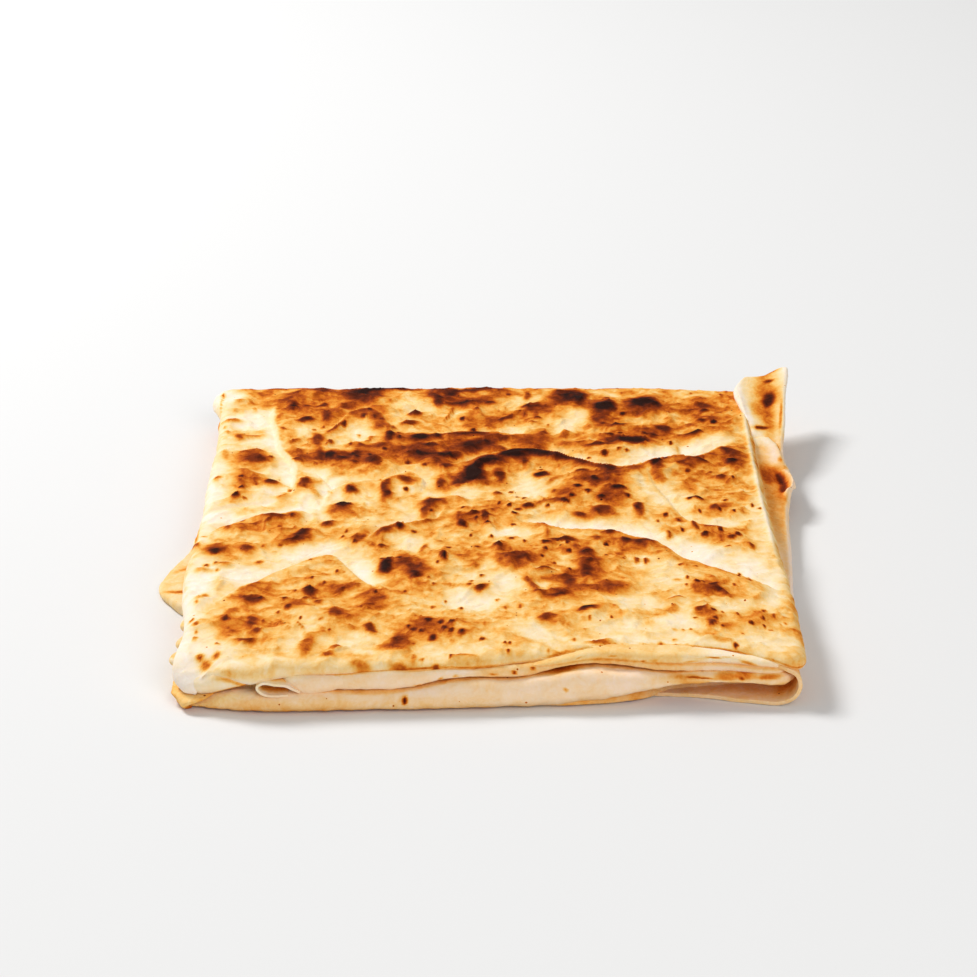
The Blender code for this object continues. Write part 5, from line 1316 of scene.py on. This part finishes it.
# %% The left tab
TAB_POINT = spline((-48, -HALF_W + 1), (-40, -HALF_W - 4), (-28, -HALF_W - TAB_REACH),
                   (-17, -HALF_W - TAB_REACH + 2), (-6, -HALF_W - 3.6), (6, -HALF_W))


def tab_brown(x, y, z):
    """Golden beige with two toasted streaks."""
    streak = ellipses(x, y, [(-90.5, -33.0, 4.5, 0.9, 0.62, -20),
                             (-91, -18, 2.0, 1.0, 0.5, 20)], 0.6)
    return np.cbrt((0.2 + 0.08 * rough(x, y, 5.0, 583)) ** 3 + streak ** 3)


leaf("left_tab", TAB_POINT, level(-HALF_W + 12), level(-49.0), level(7.0), level(0.15),
     lambda x, y: 0.15 + SHEET + 1.4 * smooth((x + HALF_W + TAB_REACH) / TAB_REACH), tab_brown,
     step=0.9, corner=3.0, rim=1.2, rows=4, both=True)

# %% Small lobes along the left edge
for number, (at, out, low, reach) in enumerate([(-61, 0.3, 5.6, 5.5), (-72, 0.7, 5.0, 5.0),
                                                (-82, 1.7, 5.2, 6.0), (-4, 3.0, 1.6, 9.0)]):
    edge = spline((at - reach, -HALF_W + 2), (at - 0.5 * reach, -HALF_W - 0.8 * out),
                  (at, -HALF_W - out), (at + reach, -HALF_W + 2))
    leaf(f"edge_lobe_{number}", edge, level(-HALF_W + 6), level(at - reach), level(at + reach),
         level(low), level(low + 1.9), field(0.0, 0.4, 3.0, 591 + number),
         step=0.7, corner=1.6, rim=0.9, rows=5, both=True)

# %% [markdown]
# ## Floor and light
# The parcel lies on a plain matt floor.  One soft box high on the back left gives the
# relief its short shadows, a wide weak one in front lights the folds, and a pale sky fills
# the rest.  The light shows most of the shape, and shade and highlights are also painted
# into the dough's colour along its seams, slits, grooves and crease lips.

# %% Floor
def matt_paper():
    """Backdrop paper, uncoated: it gives back four fifths of the light and has no shine."""
    paper = bpy.data.materials.new("matt_paper")
    paper.use_nodes = True
    set_inputs(paper.node_tree.nodes["Principled BSDF"],
               {"Base Color": linear("#e7e7e7"), "Roughness": 1.0, "Specular IOR Level": 0.0})
    return paper


FLOOR_REACH = 3.0     # metres from the middle to each edge
corners = FLOOR_REACH * np.array([(-1, -1, 0), (1, -1, 0), (1, 1, 0), (-1, 1, 0)])
floor_mesh = bpy.data.meshes.new("floor")
floor_mesh.from_pydata(corners, [], [(0, 1, 2, 3)])
floor_mesh.materials.append(matt_paper())
floor = bpy.data.objects.new("floor", floor_mesh)
bpy.context.collection.objects.link(floor)
print("floor,", 2 * FLOOR_REACH, "m square")

# %% Light
def softbox(name, place, size, power):
    """A square area lamp `size` metres wide at `place`, turned to face the parcel."""
    lamp = bpy.data.lights.new(name, "AREA")
    lamp.size, lamp.energy = size, power
    made = bpy.data.objects.new(name, lamp)
    made.location = place
    made.rotation_euler = (-Vector(place)).to_track_quat("-Z", "Y").to_euler()
    bpy.context.collection.objects.link(made)
    print(f"{name}: {power} W, {Vector(place).length:.2f} m away")


softbox("key", (-0.9, 0.7, 1.2), 0.5, 22.2)
softbox("fill", (0.5, -1.1, 0.8), 0.8, 7)
studio = bpy.data.worlds.new("studio")
bpy.context.scene.world = studio
studio.use_nodes = True
set_inputs(studio.node_tree.nodes["Background"], {"Color": linear("#f4f3f1"), "Strength": 0.42})
bpy.context.scene.view_settings.view_transform = "Standard"

# %% [markdown]
# ## Camera
# The parcel is seen from in front and a little above, through a long lens, which keeps its
# far edge nearly as wide as its near one.  The camera's own axes are written as a matrix:
# it looks along `ahead`, and leans by less than half a degree.

# %% Camera
PITCH, LEAN = math.radians(23.55), math.radians(0.44)     # downwards, and to one side
AWAY = 1.0774                                # metres from the camera to its target
TARGET = Vector((-0.0005, 0.04986, 0.0))     # the point in the middle of the view
lens = bpy.data.cameras.new("camera")
lens.sensor_width, lens.lens = 36.0, 125.3     # a full frame and a long lens, in mm
camera = bpy.data.objects.new("camera", lens)
bpy.context.collection.objects.link(camera)
ahead = Vector((0, math.cos(PITCH), -math.sin(PITCH)))
right = Vector((1, 0, 0))
above = right.cross(ahead)
side = right * math.cos(LEAN) + above * math.sin(LEAN)
up = above * math.cos(LEAN) - right * math.sin(LEAN)
axes = Matrix((side, up, -ahead)).transposed().to_4x4()
camera.matrix_world = Matrix.Translation(TARGET - ahead * AWAY) @ axes
bpy.context.scene.camera = camera
print("camera at", tuple(round(c, 3) for c in camera.matrix_world.translation))
